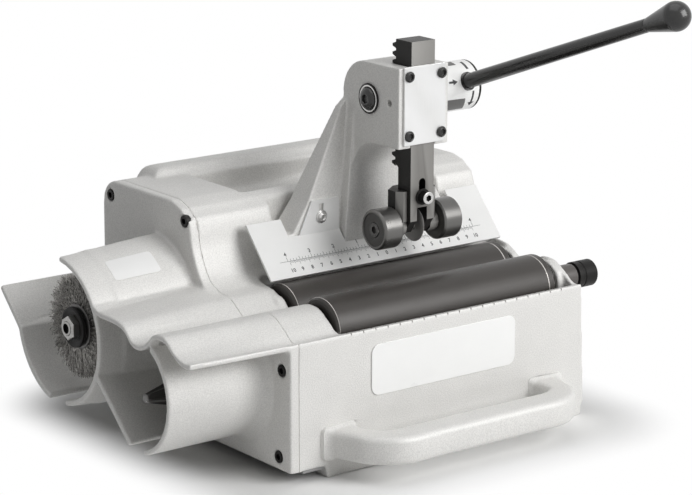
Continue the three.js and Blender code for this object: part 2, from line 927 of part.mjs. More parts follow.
function frontHandle() {
  const width = handleRight - handleLeft;
  const path = new THREE.SplineCurve(handleShares.map(([along, out]) => (
    point(handleLeft + along * width, bodyFront - out * handleReach)
  )));
  const bulk = new THREE.SplineCurve(handleShares.map(([, , wide], i) => point(i, wide)));
  const middle = (handleTop + handleBottom) / 2;
  const steps = 20;
  const rings = Array.from({ length: steps + 1 }, (_, i) => {
    const centre = path.getPoint(i / steps);
    const ends = { 0: point(0, -1), [steps]: point(0, 1) };
    const tangent = ends[i] ?? path.getTangent(i / steps);
    const flatHalf = (bulk.getPoint(i / steps).y * handleBulk) / 2 - handleRounding;
    const flatRise = handleTop - middle - handleRounding;
    return handleRim().map(({ side, level, round }) => {
      const across = side * flatHalf + round.x;
      return new THREE.Vector3(
        centre.x - tangent.y * across,
        centre.y + tangent.x * across,
        middle + level * flatRise + round.y,
      );
    });
  });
  return node('front_handle', sweptSolid(rings), castAluminium);
}

function baseCover() {
  const plate = box(
    [bodyLeft + baseMargin, bodyRight - baseMargin],
    [bodyFront + baseMargin / 2, bodyRear - baseMargin / 2],
    [bodyBottom - baseThickness, bodyBottom],
  );
  const grown = feet.map((foot) => box(
    [foot.x[0] - fitGap, foot.x[1] + fitGap],
    [foot.y[0] - overrun, foot.y[1] + overrun].map((y, i) => (
      i === 0 ? Math.min(y, foot.y[0] - fitGap) : Math.max(y, foot.y[1] + fitGap)
    )),
    [0, bodyBottom + overrun],
  ));
  return node('base_cover', cut(plate, grown), greyPlastic);
}

// Rollers and what turns with them
function rollerBody(axis, beltX, end) {
  const shaftEnd = beltX - pulleyWidth / 2 - overrun;
  const profile = [
    [shaftEnd, 0],
    [shaftEnd, stubRadius],
    [bayLeft - bearingWidth - overrun, stubRadius],
    [bayLeft - bearingWidth - overrun, journalRadius],
    [rollerLeft, journalRadius],
    [rollerLeft, rollerRadius - rollerBevel],
    [rollerLeft + rollerBevel, rollerRadius],
    [rollerRight - rollerBevel, rollerRadius],
    [rollerRight, rollerRadius - rollerBevel],
    [rollerRight, journalRadius],
    ...end,
  ];
  return turned('X', axis, profile, fineSides);
}

function pulleyProfile(radius, bore, middle) {
  const half = pulleyWidth / 2;
  const belt = beltWidth / 2 + fitGap;
  return [
    [middle - half, bore], [middle - half, radius + flangeRise], [middle - belt, radius + flangeRise],
    [middle - belt, radius], [middle + belt, radius], [middle + belt, radius + flangeRise],
    [middle + half, radius + flangeRise], [middle + half, bore],
  ];
}

function frontRoller() {
  const neckStart = bodyRight + fitGap;
  const roller = rollerBody(frontAxis, frontBeltX, [
    [neckStart, journalRadius], [neckStart, neckRadius], [neckEnd, neckRadius], [neckEnd, stubRadius],
    [collarEnd - 2 * grooveWidth, stubRadius], [collarEnd - 2 * grooveWidth, 0],
  ]);
  const collar = turned('X', frontAxis, [
    [neckEnd + grooveWidth, stubRadius + fitGap],
    [neckEnd + grooveWidth, collarRadius],
    [collarEnd - grooveWidth / 2, collarRadius],
    [collarEnd, collarRadius - grooveWidth / 2],
    [collarEnd, stubRadius + fitGap],
  ]);
  const pulley = turned('X', frontAxis, pulleyProfile(rollerPulley, stubRadius + fitGap, frontBeltX));
  return [
    node('front_roller', roller, rollerBlack),
    node('brush_collar', collar, blackSteel),
    node('front_roller_pulley', pulley, bareAluminium),
  ];
}

function rearRoller() {
  const end = rightPocket - overrun;
  const roller = rollerBody(rearAxis, rearBeltX, [[end, journalRadius], [end, 0]]);
  const pulley = turned('X', rearAxis, pulleyProfile(rollerPulley, stubRadius + fitGap, rearBeltX));
  return [node('rear_roller', roller, rollerBlack), node('rear_roller_pulley', pulley, bareAluminium)];
}

function bearings() {
  const places = [
    ['front_bearing_left', frontAxis, bayLeft - bearingWidth, bearingWidth, journalRadius],
    ['front_bearing_right', frontAxis, rightBoss + fitGap, bearingWidth, journalRadius],
    ['rear_bearing_left', rearAxis, bayLeft - bearingWidth, bearingWidth, journalRadius],
    ['rear_bearing_right', rearAxis, rightBoss + fitGap, bearingWidth, journalRadius],
    ['brush_bearing', brushAxis, plateOuter + fitGap, spindleSeat - 2 * fitGap, spindleRadius],
    ['reamer_bearing', reamerAxis, plateOuter + fitGap, spindleSeat - 2 * fitGap, spindleRadius],
  ];
  return places.map(([name, axis, start, width, bore]) => node(
    name,
    ring('X', axis, bore + fitGap, bearingRadius, start, start + width),
    brightSteel,
  ));
}

// A flat belt wrapped round pulleys on parallel axes
function beltLoop(pulleys, grow) {
  const samples = pulleys.flatMap(({ axis, radius }) => (
    arcPoints(point(axis.y, axis.z), radius + grow, 0, 2 * Math.PI, 24)
  ));
  samples.sort((a, b) => a.x - b.x || a.y - b.y);
  const half = (list) => {
    const hull = [];
    list.forEach((place) => {
      while (hull.length > 1) {
        const [a, b] = hull.slice(-2);
        const turn = (b.x - a.x) * (place.y - a.y) - (b.y - a.y) * (place.x - a.x);
        if (turn > 0) break;
        hull.pop();
      }
      hull.push(place);
    });
    return hull.slice(0, -1);
  };
  return [...half(samples), ...half([...samples].reverse())];
}

function belt(name, pulleys, middle) {
  const outer = beltLoop(pulleys, fitGap + beltThickness);
  const inner = beltLoop(pulleys, fitGap);
  const half = beltWidth / 2;
  return node(name, prismX(outer, middle - half, middle + half).subtract(
    prismX(inner, middle - beltWidth, middle + beltWidth),
  ), beltRubber);
}

function belts() {
  return [
    belt('main_belt', [
      { axis: motorAxis, radius: drivePulley },
      { axis: brushAxis, radius: brushPulley },
      { axis: reamerAxis, radius: reamerPulley },
    ], mainBeltX),
    belt('front_roller_belt', [
      { axis: frontAxis, radius: rollerPulley },
      { axis: reamerAxis, radius: rollerPulley },
    ], frontBeltX),
    belt('rear_roller_belt', [
      { axis: rearAxis, radius: rollerPulley },
      { axis: reamerAxis, radius: rollerPulley },
    ], rearBeltX),
  ];
}

function gearMotor() {
  const profile = [
    [gearboxLeft, 0], [gearboxLeft, gearboxRadius], [motorLeft, gearboxRadius],
    [motorLeft, motorRadius], [motorRight, motorRadius], [motorRight, 0],
  ];
  const body = turned('X', motorAxis, profile, fineSides).subtract(
    rod('X', motorAxis, outputRadius + fitGap, gearboxLeft - overrun, gearboxLeft + outputDepth),
  );
  const pulley = pulleyProfile(drivePulley, 0, mainBeltX);
  const shaftEnd = gearboxLeft + outputDepth - overrun;
  const driver = turned('X', motorAxis, [
    ...pulley.slice(0, -1),
    [mainBeltX + pulleyWidth / 2, outputRadius],
    [shaftEnd, outputRadius],
    [shaftEnd, 0],
  ]);
  return [node('gear_motor', body, greyPlastic), node('drive_pulley', driver, brightSteel)];
}

// Wire brush, its spindle, flange and nut
function brushSpindle() {
  const pulley = pulleyProfile(brushPulley, 0, mainBeltX);
  const backStop = brushBack + fitGap;
  const profile = [
    [nutFront - overrun / 2, 0], [nutFront - overrun / 2, brushStub], [backStop, brushStub],
    [backStop, flangeRadius],
    [backStop + flangeThickness, flangeRadius],
    [backStop + flangeThickness, spindleRadius],
    [mainBeltX - pulleyWidth / 2, spindleRadius], ...pulley.slice(1),
  ];
  return node('brush_spindle', turned('X', brushAxis, profile), brightSteel);
}

// Straight three-sided strands stand on a slice of the core, each row leaning outward a little
function wireBrush() {
  const core = ring('X', brushAxis, brushStub + fitGap, brushCore, brushFront, brushBack, strandCount);
  const positions = [];
  const faces = [];
  const middle = (brushFront + brushBack) / 2;
  for (let row = 0; row < strandRows; row += 1) {
    const level = row - (strandRows - 1) / 2;
    for (let i = 0; i < strandCount; i += 1) {
      const angle = ((i + 1 / 2) / strandCount) * 2 * Math.PI;
      const out = new THREE.Vector3(0, Math.cos(angle), Math.sin(angle));
      const side = new THREE.Vector3(0, -Math.sin(angle), Math.cos(angle));
      const start = positions.length / 3;
      [[brushCore - strandSeat, rowSpread], [brushRadius, tipSpread]].forEach(([radius, spread]) => {
        for (let corner = 0; corner < 3; corner += 1) {
          const turn = (corner / 3) * 2 * Math.PI;
          const place = out.clone().multiplyScalar(radius)
            .addScaledVector(side, strandWidth * Math.cos(turn))
            .addScaledVector(unit.X, strandWidth * Math.sin(turn) + level * spread);
          positions.push(middle + place.x, brushY + place.y, brushZ + place.z);
        }
      });
      faces.push(start, start + 2, start + 1, start + 3, start + 4, start + 5);
      for (let corner = 0; corner < 3; corner += 1) {
        const next = (corner + 1) % 3;
        faces.push(start + corner, start + next, start + 3 + next);
        faces.push(start + corner, start + 3 + next, start + 3 + corner);
      }
    }
  }
  const strands = new THREE.BufferGeometry();
  strands.setAttribute('position', new THREE.Float32BufferAttribute(positions, 3));
  strands.setIndex(faces);
  return node('wire_brush', core.add(solidOf(strands)), springSteel);
}

const nutCorner = nutWidth / 2 / Math.cos(Math.PI / 6);

function brushFlange() {
  const seat = brushFront - fitGap;
  const profile = [
    [seat - flangeThickness, brushStub + fitGap],
    [seat - flangeThickness, nutCorner + fitGap],
    [seat - flangeThickness - flangeDish, flangeRadius - overrun],
    [seat - flangeThickness, flangeRadius],
    [seat, flangeRadius],
    [seat, brushStub + fitGap],
  ];
  return node('brush_flange', turned('X', brushAxis, profile), brightSteel);
}

function brushNut() {
  const seat = brushFront - fitGap - flangeThickness;
  const bore = rod('X', brushAxis, brushStub + fitGap, nutFront - overrun, seat + overrun);
  return node('brush_nut', rod('X', brushAxis, nutCorner, nutFront, seat, 6).subtract(bore), brightSteel);
}

// Fluted reamer cone on its spindle
function reamer() {
  const star = (radius) => Array.from({ length: reamerBlades * 3 }, (_, i) => {
    const reach = i % 3 === 2 ? radius * bladeDepthShare : radius;
    const angle = ((i - (i % 3 === 1 ? 0.55 : 0)) / (reamerBlades * 3)) * 2 * Math.PI;
    return point(reamerY + reach * Math.cos(angle), reamerZ + reach * Math.sin(angle));
  });
  const cone = loftX(star(reamerTipRadius), star(reamerRadius), reamerTip, reamerBack);
  const collar = rod('X', reamerAxis, reamerRadius, reamerBack, reamerBack + reamerCollar);
  const pulleys = [
    pulleyProfile(reamerPulley, spindleRadius, mainBeltX),
    pulleyProfile(rollerPulley, stubRadius, frontBeltX),
    pulleyProfile(rollerPulley, 0, rearBeltX).slice(1),
  ];
  const spindle = turned('X', reamerAxis, [
    [reamerBack + reamerCollar, 0], [reamerBack + reamerCollar, spindleRadius], ...pulleys.flat(),
  ]);
  return [
    node('reamer_cone', cone.add(collar), brightSteel),
    node('reamer_spindle', spindle, brightSteel),
  ];
}

// Cutter column: head, post, two webs and a foot in the housing's seat
function column() {
  const headOutline = [
    point(headFront, headBottom), point(headFront, headTop),
    ...arcPoints(point(headRear - headRound, headTop - headRound), headRound, Math.PI / 2, 0, 8),
    point(headRear, headBottom),
  ];
  const head = prismX(headOutline, -headHalf, headHalf);
  const post = prismY([
    point(-postHalf, seatZ), point(postHalf, seatZ), point(headHalf, headBottom + headHalf),
    point(-headHalf, headBottom + headHalf),
  ], postFront, headRear);
  const webSides = [
    point(-seatHalf, seatZ), point(seatHalf, seatZ), point(seatHalf, baseTop),
    point(webLow, webLowZ), point(webShoulder, webShoulderZ),
    point(headHalf, webTop), point(-headHalf, webTop),
    point(-webShoulder, webShoulderZ), point(-webLow, webLowZ), point(-seatHalf, baseTop),
  ];
  const webDepth = prismX([
    point(webFront, seatZ), point(seatRear, seatZ), point(webRear, humpTop),
    point(headRear, webTop), point(webFront, webTop),
  ], -seatHalf, seatHalf);
  const web = prismY(webSides, webFront, seatRear).intersect(webDepth);
  const foot = box([-baseHalf, baseHalf], [webFront, seatRear], [seatZ, baseTop]);
  const filletCentre = point(postFront - headFillet, headBottom - headFillet);
  const fillet = prismX([
    point(postFront + overrun, headBottom + overrun),
    point(filletCentre.x, headBottom + overrun),
    ...arcPoints(filletCentre, headFillet, Math.PI / 2, 0, 6),
    point(postFront + overrun, filletCentre.y),
  ], -headHalf, headHalf);
  const solid = cut(joined([head, post, web, foot, fillet]), [
    box([-rackWay, rackWay], [headFront - overrun, rackTips + 2 * fitGap], [seatZ, rackTop]),
    rod('X', pinionAxis, pitchRadius + pinionAddendum + 3 * fitGap, -rackWay, rackWay, fineSides),
    rod('X', pinionAxis, pinionShaft + fitGap, -headHalf - overrun, headHalf + overrun),
    rod('X', { y: stopHoleY, z: pinionZ }, stopHole, -headHalf - overrun, -headHalf + stopHoleDepth),
    rod('Y', rulerScrewPlace, screwShank + fitGap, webFront - overrun, webFront + screwDepth),
    ...coverScrewPlaces.map((place) => (
      rod('Y', place, screwShank + fitGap, headFront - overrun, headFront + screwDepth)
    )),
  ]);
  return node('cutter_column', solid, castAluminium);
}

function headCover() {
  const plate = box(
    [-coverHalf, coverHalf],
    [headFront - coverThickness, headFront],
    [coverBottom, coverTop],
  );
  const holes = coverScrewPlaces.map((place) => (
    rod('Y', place, screwShank + fitGap, headFront - 2 * coverThickness, headFront + overrun)
  ));
  const screws = coverScrewPlaces.map((place, i) => node(
    `cover_screw_${i + 1}`,
    socketScrew(
      'Y',
      place,
      headFront - coverThickness,
      screwHead,
      screwHeadHeight,
      screwShank,
      screwDepth - overrun,
    ),
    blackSteel,
  ));
  return [node('head_cover', cut(plate, holes), bareAluminium), ...screws];
}

// One pinion tooth flank from root to tip, as polar places from the tooth's middle
function pinionFlank() {
  const base = pitchRadius * Math.cos(pressureAngle);
  const root = pitchRadius - pinionDedendum;
  const tip = pitchRadius + pinionAddendum;
  const involute = (radius) => {
    const angle = Math.acos(Math.min(base / radius, 1));
    return Math.tan(angle) - angle;
  };
  const halfAtPitch = (toothPitch / 2 - toothBacklash / 2) / 2 / pitchRadius;
  const halfAt = (radius) => halfAtPitch + involute(pitchRadius) - involute(radius);
  const radii = [base, pitchRadius, (pitchRadius + tip) / 2, tip];
  return [[root, halfAt(base)], ...radii.map((radius) => [radius, halfAt(radius)])];
}

function pinionOutline() {
  const flank = pinionFlank();
  const places = [];
  for (let tooth = 0; tooth < pinionTeeth; tooth += 1) {
    const middle = Math.PI + (tooth / pinionTeeth) * 2 * Math.PI;
    flank.forEach(([radius, half]) => places.push([radius, middle - half]));
    [...flank].reverse().forEach(([radius, half]) => places.push([radius, middle + half]));
  }
  return places.map(([radius, angle]) => (
    point(pinionAxis.y + radius * Math.cos(angle), pinionAxis.z + radius * Math.sin(angle))
  ));
}

function pinion() {
  const gear = prismX(pinionOutline(), -pinionHalf, pinionHalf);
  const shaft = turned('X', pinionAxis, [
    [-headHalf, 0], [-headHalf, pinionShaft], [hubLeft - fitGap, pinionShaft], [hubLeft - fitGap, handleStub],
    [bushRight, handleStub], [bushRight, 0],
  ]);
  const washer = rod('X', pinionAxis, washerRadius, -headHalf - fitGap - washerThickness, -headHalf - fitGap);
  const button = turned('X', pinionAxis, [
    [-headHalf - fitGap - washerThickness - buttonHeight, 0],
    [-headHalf - fitGap - washerThickness - buttonHeight, buttonRadius / 2],
    [-headHalf - fitGap - washerThickness - buttonHeight / 2, buttonRadius],
    [-headHalf - fitGap - washerThickness, buttonRadius],
    [-headHalf - fitGap - washerThickness, 0],
  ]).subtract(rod(
    'X',
    pinionAxis,
    buttonRadius * socketShare,
    -headHalf - washerThickness - 2 * buttonHeight,
    -headHalf - washerThickness - buttonHeight / 2,
    6,
  ));
  return [
    node('pinion_shaft', gear.add(shaft), blackSteel),
    node('pinion_washer', washer, blackSteel),
    node('pinion_screw', button, blackSteel),
  ];
}

// Toothed rack that carries the cutter wheel between its legs
function rack() {
  const rootLine = pitchLine - rackDedendum;
  const halfTooth = (toothPitch / 2 - toothBacklash / 2) / 2;
  const slope = Math.tan(pressureAngle);
  const tipHalf = halfTooth - rackAddendum * slope;
  const rootHalf = halfTooth + rackDedendum * slope;
  const top = Math.floor((rackTop - pinionZ) / toothPitch) + 0.5;
  const outline = [point(rackFront, legFrontEnd), point(rackFront, rackTop), point(rootLine, rackTop)];
  for (let i = 0; i < rackTeeth; i += 1) {
    const middle = pinionZ + (top - 1 - i) * toothPitch;
    outline.push(
      point(rootLine, middle + rootHalf), point(rackTips, middle + tipHalf),
      point(rackTips, middle - tipHalf), point(rootLine, middle - rootHalf),
    );
  }
  const lastRoot = pinionZ + (top - rackTeeth) * toothPitch;
  outline.push(
    point(rootLine, lastRoot), point(shankBack, lastRoot - toothPitch / 2),
    point(shankBack, legEnd), point(rackFront + legChamfer, legEnd),
  );
  const wheelSlotTop = wheelZ + wheelRadius + 2 * fitGap;
  const springBore = springCoil + springWire + fitGap;
  const solid = cut(prismX(outline, -rackHalf, rackHalf), [
    box(
      [-wheelHub - fitGap, wheelHub + fitGap],
      [rackFront - overrun, rackTips],
      [legEnd - overrun, wheelSlotTop],
    ),
    box(
      [-slotHalf, slotHalf],
      [rackFront - overrun, rackTips],
      [carriageScrewZ - carriageScrew - fitGap, slotTop - slotHalf],
    ),
    rod('Y', { x: 0, z: slotTop - slotHalf }, slotHalf, rackFront - overrun, rackTips),
    rod('Z', { x: 0, y: springY }, springBore, slotTop - 2 * slotHalf, springTop + fitGap),
    rod('X', wheelAxis, wheelPin + fitGap, -rackHalf - overrun, rackHalf + overrun),
  ]);
  return [
    node('rack', solid, blackSteel),
    node('cutter_pin', rod('X', wheelAxis, wheelPin, -rackHalf, rackHalf), brightSteel),
  ];
}

function cutterWheel() {
  const bore = wheelPin + fitGap;
  const profile = [
    [-wheelHub, bore], [-wheelHub, wheelHubRadius], [-wheelWeb, wheelHubRadius + fitGap],
    [-wheelWeb, wheelRadius - 2 * wheelWeb], [-wheelEdge, wheelRadius], [wheelEdge, wheelRadius],
    [wheelWeb, wheelRadius - 2 * wheelWeb], [wheelWeb, wheelHubRadius + fitGap],
    [wheelHub, wheelHubRadius], [wheelHub, bore],
  ];
  return node('cutter_wheel', turned('X', wheelAxis, profile, fineSides), brightSteel);
}

// Sprung carriage that holds the guide rollers beside the wheel
function carriage() {
  const inner = rackHalf + fitGap;
  const plan = [
    point(cheekOuter - cheekChamfer, cheekFront), point(cheekOuter, cheekFront + cheekChamfer),
    point(cheekOuter, cheekBack), point(bridgeHalf, bridgeBack),
  ];
  const mirrored = plan.map((place) => point(-place.x, place.y)).reverse();
  const block = cut(prismZ([...plan, ...mirrored], cheekBottom, cheekTop), [
    box([-inner, inner], [cheekFront - overrun, shankBack + fitGap], [cheekBottom, cheekTop + overrun]),
    box([-inner, inner], [cheekFront - overrun, 0], [cheekBottom - overrun, bridgeBottom]),
  ]);
  const bosses = [[-cheekOuter, -inner], [inner, cheekOuter]].map(([from, to]) => (
    rod('X', wheelAxis, cheekBoss, from, to)
  ));
  const solid = cut(joined([block, ...bosses]), [
    rod('X', wheelAxis, guideShank + fitGap, -cheekOuter - overrun, -inner + overrun),
    rod('X', wheelAxis, guideShank + fitGap, inner - overrun, cheekOuter + overrun),
    rod('Y', { x: 0, z: carriageScrewZ }, carriageScrew + fitGap, shankBack - overrun, 0),
  ]);
  const ringBack = rackFront - fitGap;
  const ringFront = ringBack - carriageRingHeight;
  const screw = turned('Y', { x: 0, z: carriageScrewZ }, [
    [carriageHeadFront, 0], [carriageHeadFront, carriageHead], [ringFront, carriageHead],
    [ringFront, carriageRing], [ringBack, carriageRing], [ringBack, carriageScrew],
    [bridgeBack, carriageScrew], [bridgeBack, 0],
  ]).subtract(rod(
    'Y',
    { x: 0, z: carriageScrewZ },
    carriageHead * socketShare,
    carriageHeadFront - overrun,
    carriageHeadFront + carriageHead / 2,
    6,
  ));
  return [node('carriage', solid, blackSteel), node('carriage_screw', screw, blackSteel)];
}

function guideRollers() {
  const pieces = [];
  [['left', -1], ['right', 1]].forEach(([side, way]) => {
    const bore = guideShank + fitGap;
    const recess = guideHead + fitGap;
    const wheel = [
      [guideInner, bore], [guideInner, guideRadius - guideBevel], [guideInner + guideBevel, guideRadius],
      [guideOuter - guideBevel, guideRadius], [guideOuter, guideRadius - guideBevel], [guideOuter, recess],
      [guideOuter - guideHeadDepth, recess], [guideOuter - guideHeadDepth, bore],
    ];
    const screw = [
      [rackHalf + 2 * fitGap, 0], [rackHalf + 2 * fitGap, guideShank],
      [guideOuter - guideHeadDepth + fitGap, guideShank], [guideOuter - guideHeadDepth + fitGap, guideHead],
      [guideOuter - fitGap, guideHead], [guideOuter - fitGap, 0],
    ];
    const facing = (profile) => (
      way > 0 ? profile : [...profile].reverse().map(([along, radius]) => [-along, radius])
    );
    const socket = [guideOuter - guideHeadDepth / 2, guideOuter + overrun].map((x) => way * x);
    socket.sort((a, b) => a - b);
    pieces.push(node(`guide_roller_${side}`, turned('X', wheelAxis, facing(wheel), fineSides), blackSteel));
    pieces.push(node(`guide_screw_${side}`, turned('X', wheelAxis, facing(screw)).subtract(
      rod('X', wheelAxis, guideHead * socketShare, socket[0], socket[1], 6),
    ), brightSteel));
  });
  return pieces;
}

// One unbroken wire coil between the carriage screw and the top of its bore
function carriageSpring() {
  const low = carriageScrewZ + carriageScrew + fitGap + springWire;
  const high = springTop - springWire;
  const steps = springTurns * curlSteps;
  const centres = [];
  const rings = [];
  for (let i = 0; i <= steps; i += 1) {
    const turn = (i / curlSteps) * 2 * Math.PI;
    const out = new THREE.Vector3(Math.cos(turn), Math.sin(turn), 0);
    const centre = new THREE.Vector3(0, springY, low + ((high - low) * i) / steps)
      .addScaledVector(out, springCoil);
    centres.push(centre);
    rings.push(Array.from({ length: wireSides }, (_, side) => {
      const angle = (-side / wireSides) * 2 * Math.PI;
      return centre.clone()
        .addScaledVector(out, springWire * Math.cos(angle))
        .addScaledVector(unit.Z, springWire * Math.sin(angle));
    }));
  }
  reportSelfGap('carriage_spring', centres);
  return node('carriage_spring', sweptSolid(rings), springSteel);
}

// Least distance between wire surfaces more than half a turn apart
function reportSelfGap(name, centres) {
  let least = Infinity;
  centres.forEach((centre, i) => {
    centres.slice(i + curlSteps / 2).forEach((other) => {
      least = Math.min(least, centre.distanceTo(other) - 2 * springWire);
    });
  });
  console.log(`${name} least gap to itself: ${least.toFixed(2)} mm`);
}

// Feed handle: sliding bush, hub, lever and ball knob
function feedHandle() {
  const bush = ring('X', pinionAxis, handleStub + fitGap, bushRadius, hubLeft, bushRight);
  const capStart = hubRight - hubCap;
  const hub = turned('X', pinionAxis, [
    [hubLeft, bushRadius + fitGap], [hubLeft, hubRadius - hubBevel], [hubLeft + hubBevel, hubRadius],
    [hubRight - hubBevel, hubRadius], [hubRight, hubRadius - hubBevel], [hubRight, 0],
    [capStart, 0], [capStart, bushRadius + fitGap],
  ], fineSides);
  const lay = new THREE.Matrix4().makeRotationX(Math.PI - leverRise);
  const place = (profile) => solidOf(
    lathed(profile, plainSides).applyMatrix4(lay).translate(leverX, pinionAxis.y, pinionAxis.z),
  );
  const rootStart = bushRadius + 2 * fitGap;
  const stubEnd = leverLength + leverStubLength;
  const lever = place([
    [rootStart, 0], [rootStart, leverRoot], [leverLength, leverTip], [leverLength, leverStub],
    [stubEnd, leverStub], [stubEnd, 0],
  ]);
  const socket = place([
    [0, 0], [0, leverRoot + fitGap], [hubRadius + overrun, leverRoot + fitGap], [hubRadius + overrun, 0],
  ]);
  const neckAngle = Math.asin(knobNeck / knobRadius);
  const ball = arcPoints(point(knobCentre, 0), knobRadius, Math.PI - neckAngle, 0, 8)
    .map((spot) => [spot.x, Math.max(spot.y, 0)]);
  const knob = place([
    [stubEnd + fitGap, 0], [stubEnd + fitGap, leverStub + fitGap], [leverLength + fitGap, leverStub + fitGap],
    [leverLength + fitGap, knobNeck], ...ball.slice(0, -1), [knobCentre + knobRadius, 0],
  ]);
  return [
    node('hub_bush', bush, brightSteel),
    node('handle_hub', hub.subtract(socket), whiteEnamel),
    node('handle_rod', lever, blackSteel),
    node('handle_knob', knob, blackPlastic),
  ];
}

// Ruler plate: a sheet on the slope behind the rollers, with a tab up the column's web
function rulerPlate() {
  const cosine = Math.cos(rulerSlope);
  const back = fitGap + rulerThickness * Math.sin(rulerSlope);
  const webCut = (webFront - back) / cosine;
  const postCut = (postFront - back) / cosine;
  const edges = [
    [-rulerHalf, rulerLow], [rulerHalf, rulerLow], [rulerHalf, rulerHigh], [baseHalf + fitGap, rulerHigh],
    [baseHalf + fitGap, webCut], [postHalf + fitGap, webCut], [postHalf + fitGap, postCut],
    [-postHalf - fitGap, postCut], [-postHalf - fitGap, webCut], [-baseHalf - fitGap, webCut],
    [-baseHalf - fitGap, rulerHigh], [-rulerHalf, rulerHigh],
  ].map(([x, up]) => point(x, up));
  const sheet = extruded(edges, rulerThickness).translate(0, 0, -rulerThickness)
    .rotateX(rulerSlope).translate(0, 0, rulerZ);
  const bend = webCut * Math.sin(rulerSlope) + rulerZ - rulerThickness;
  const tab = prismY([
    point(tabLeft, bend), point(tabRight, bend), point(tabRight, tabTop), point(tabTopLeft, tabTop),
  ], webFront - fitGap - rulerThickness, webFront - fitGap);
  const slot = box(
    [rulerScrewX - screwShank - fitGap, rulerScrewX + screwShank + fitGap],
    [webFront - 3 * rulerThickness, webFront + overrun],
    [rulerSlotBottom, rulerSlotTop],
  );
  const seat = webFront - fitGap - rulerThickness;
  const headSeat = seat - rulerWasherHeight;
  const headFace = headSeat - screwHeadHeight;
  const screwEnd = webFront + screwDepth - overrun;
  const screw = turned('Y', rulerScrewPlace, [
    [headFace, 0], [headFace, rulerScrewHead], [headSeat, rulerScrewHead], [headSeat, rulerWasher],
    [seat, rulerWasher], [seat, screwShank], [screwEnd, screwShank], [screwEnd, 0],
  ]);
  return [
    node('ruler_plate', solidOf(sheet).add(tab).subtract(slot), whiteEnamel),
    node('ruler_screw', screw, brightSteel),
  ];
}

function frontPlate() {
  const outline = new THREE.Shape();
  const [left, right, low, high, r] = [plateLeft, plateRight, plateBottom, plateTop, plateCorner];
  outline.absarc(right - r, high - r, r, 0, Math.PI / 2);
  outline.absarc(left + r, high - r, r, Math.PI / 2, Math.PI);
  outline.absarc(left + r, low + r, r, Math.PI, 1.5 * Math.PI);
  outline.absarc(right - r, low + r, r, 1.5 * Math.PI, 2 * Math.PI);
  return node('front_plate', prismY(outline, bodyFront - plateThickness, bodyFront), whiteEnamel);
}

// A thin bare plate on the guard's round flank
function guardPlate() {
  const reach = (x) => brushRoom + guardWall
    + (guardDraft * (x - guardEnd)) / (bodyLeft - endPlate / 2 - guardEnd) + fitGap / 3;
  const outline = (x) => sector(
    point(brushY, brushZ),
    reach(x),
    reach(x) + stickerThickness,
    stickerStart,
    stickerEnd,
    8,
  );
  return node(
    'guard_plate',
    loftX(outline(stickerLeft), outline(stickerRight), stickerLeft, stickerRight),
    whiteEnamel,
  );
}

// Power switch on the hidden right end, and the cord gland at the rear
function powerSwitch() {
  const outer = bodyRight + switchRimHeight;
  const bezel = joined([
    box(
      [bodyRight, outer],
      [switchY - switchHalfY - switchRim, switchY + switchHalfY + switchRim],
      [switchZ - switchHalfZ - switchRim, switchZ + switchHalfZ + switchRim],
    ),
    box(
      [bodyRight - switchDepth, bodyRight],
      [switchY - switchHalfY, switchY + switchHalfY],
      [switchZ - switchHalfZ, switchZ + switchHalfZ],
    ),
  ]).subtract(box(
    [bodyRight - rockerDepth - 2 * rockerRise, outer + overrun],
    [switchY - rockerHalfY - fitGap, switchY + rockerHalfY + fitGap],
    [switchZ - rockerHalfZ - 2 * fitGap, switchZ + rockerHalfZ + 2 * fitGap],
  ));
  const half = rockerHalfZ - fitGap;
  const profile = [
    point(-rockerDepth, 0), point(0, -half), point(rockerRise, -half), point(rockerRise / 3, 0),
    point(rockerRise, half), point(0, half),
  ];
  const turn = new THREE.Matrix4().makeRotationY(-rockerTilt);
  const body = extruded(profile, 2 * rockerHalfY).applyMatrix4(towardY).translate(0, rockerHalfY, 0);
  const rocker = solidOf(body.applyMatrix4(turn).translate(bodyRight, switchY, switchZ));
  return [node('switch_bezel', bezel, blackPlastic), node('switch_rocker', rocker, greyPlastic)];
}

function cordGland() {
  const gland = turned('Y', { x: glandX, z: glandZ }, [
    [bodyRear - 3 * castWall, glandBore], [bodyRear - 3 * castWall, glandBody], [bodyRear, glandBody],
    [bodyRear, glandFlange], [bodyRear + glandReach / 3, glandFlange], [bodyRear + glandReach, glandBody],
    [bodyRear + glandReach, glandBore],
  ]);
  return node('cord_gland', gland, blackPlastic);
}

const machine = new THREE.Group();
machine.add(
  housing(),
  endCasting(),
  frontHandle(),
  baseCover(),
  ...endScrews(),
  column(),
  ...headCover(),
  ...rulerPlate(),
  frontPlate(),
  guardPlate(),
  ...gearMotor(),
  ...belts(),
  ...bearings(),
  cordGland(),
  ...powerSwitch(),
  ...frontRoller(),
  ...rearRoller(),
  brushSpindle(),
  wireBrush(),
  brushFlange(),
  brushNut(),
  ...reamer(),
  ...pinion(),
  ...feedHandle(),
  ...rack(),
  cutterWheel(),
  ...carriage(),
  carriageSpring(),
  ...guideRollers(),
);

// The finished machine stands with the middle of its footprint over the origin
const extent = new THREE.Box3().setFromObject(machine);
const middle = extent.getCenter(new THREE.Vector3());
machine.position.set(-middle.x, -middle.y, -extent.min.z);

export default machine;
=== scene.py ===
import math
from functools import partial

import bmesh
import bpy
import numpy as np
from mathutils import Matrix, Vector


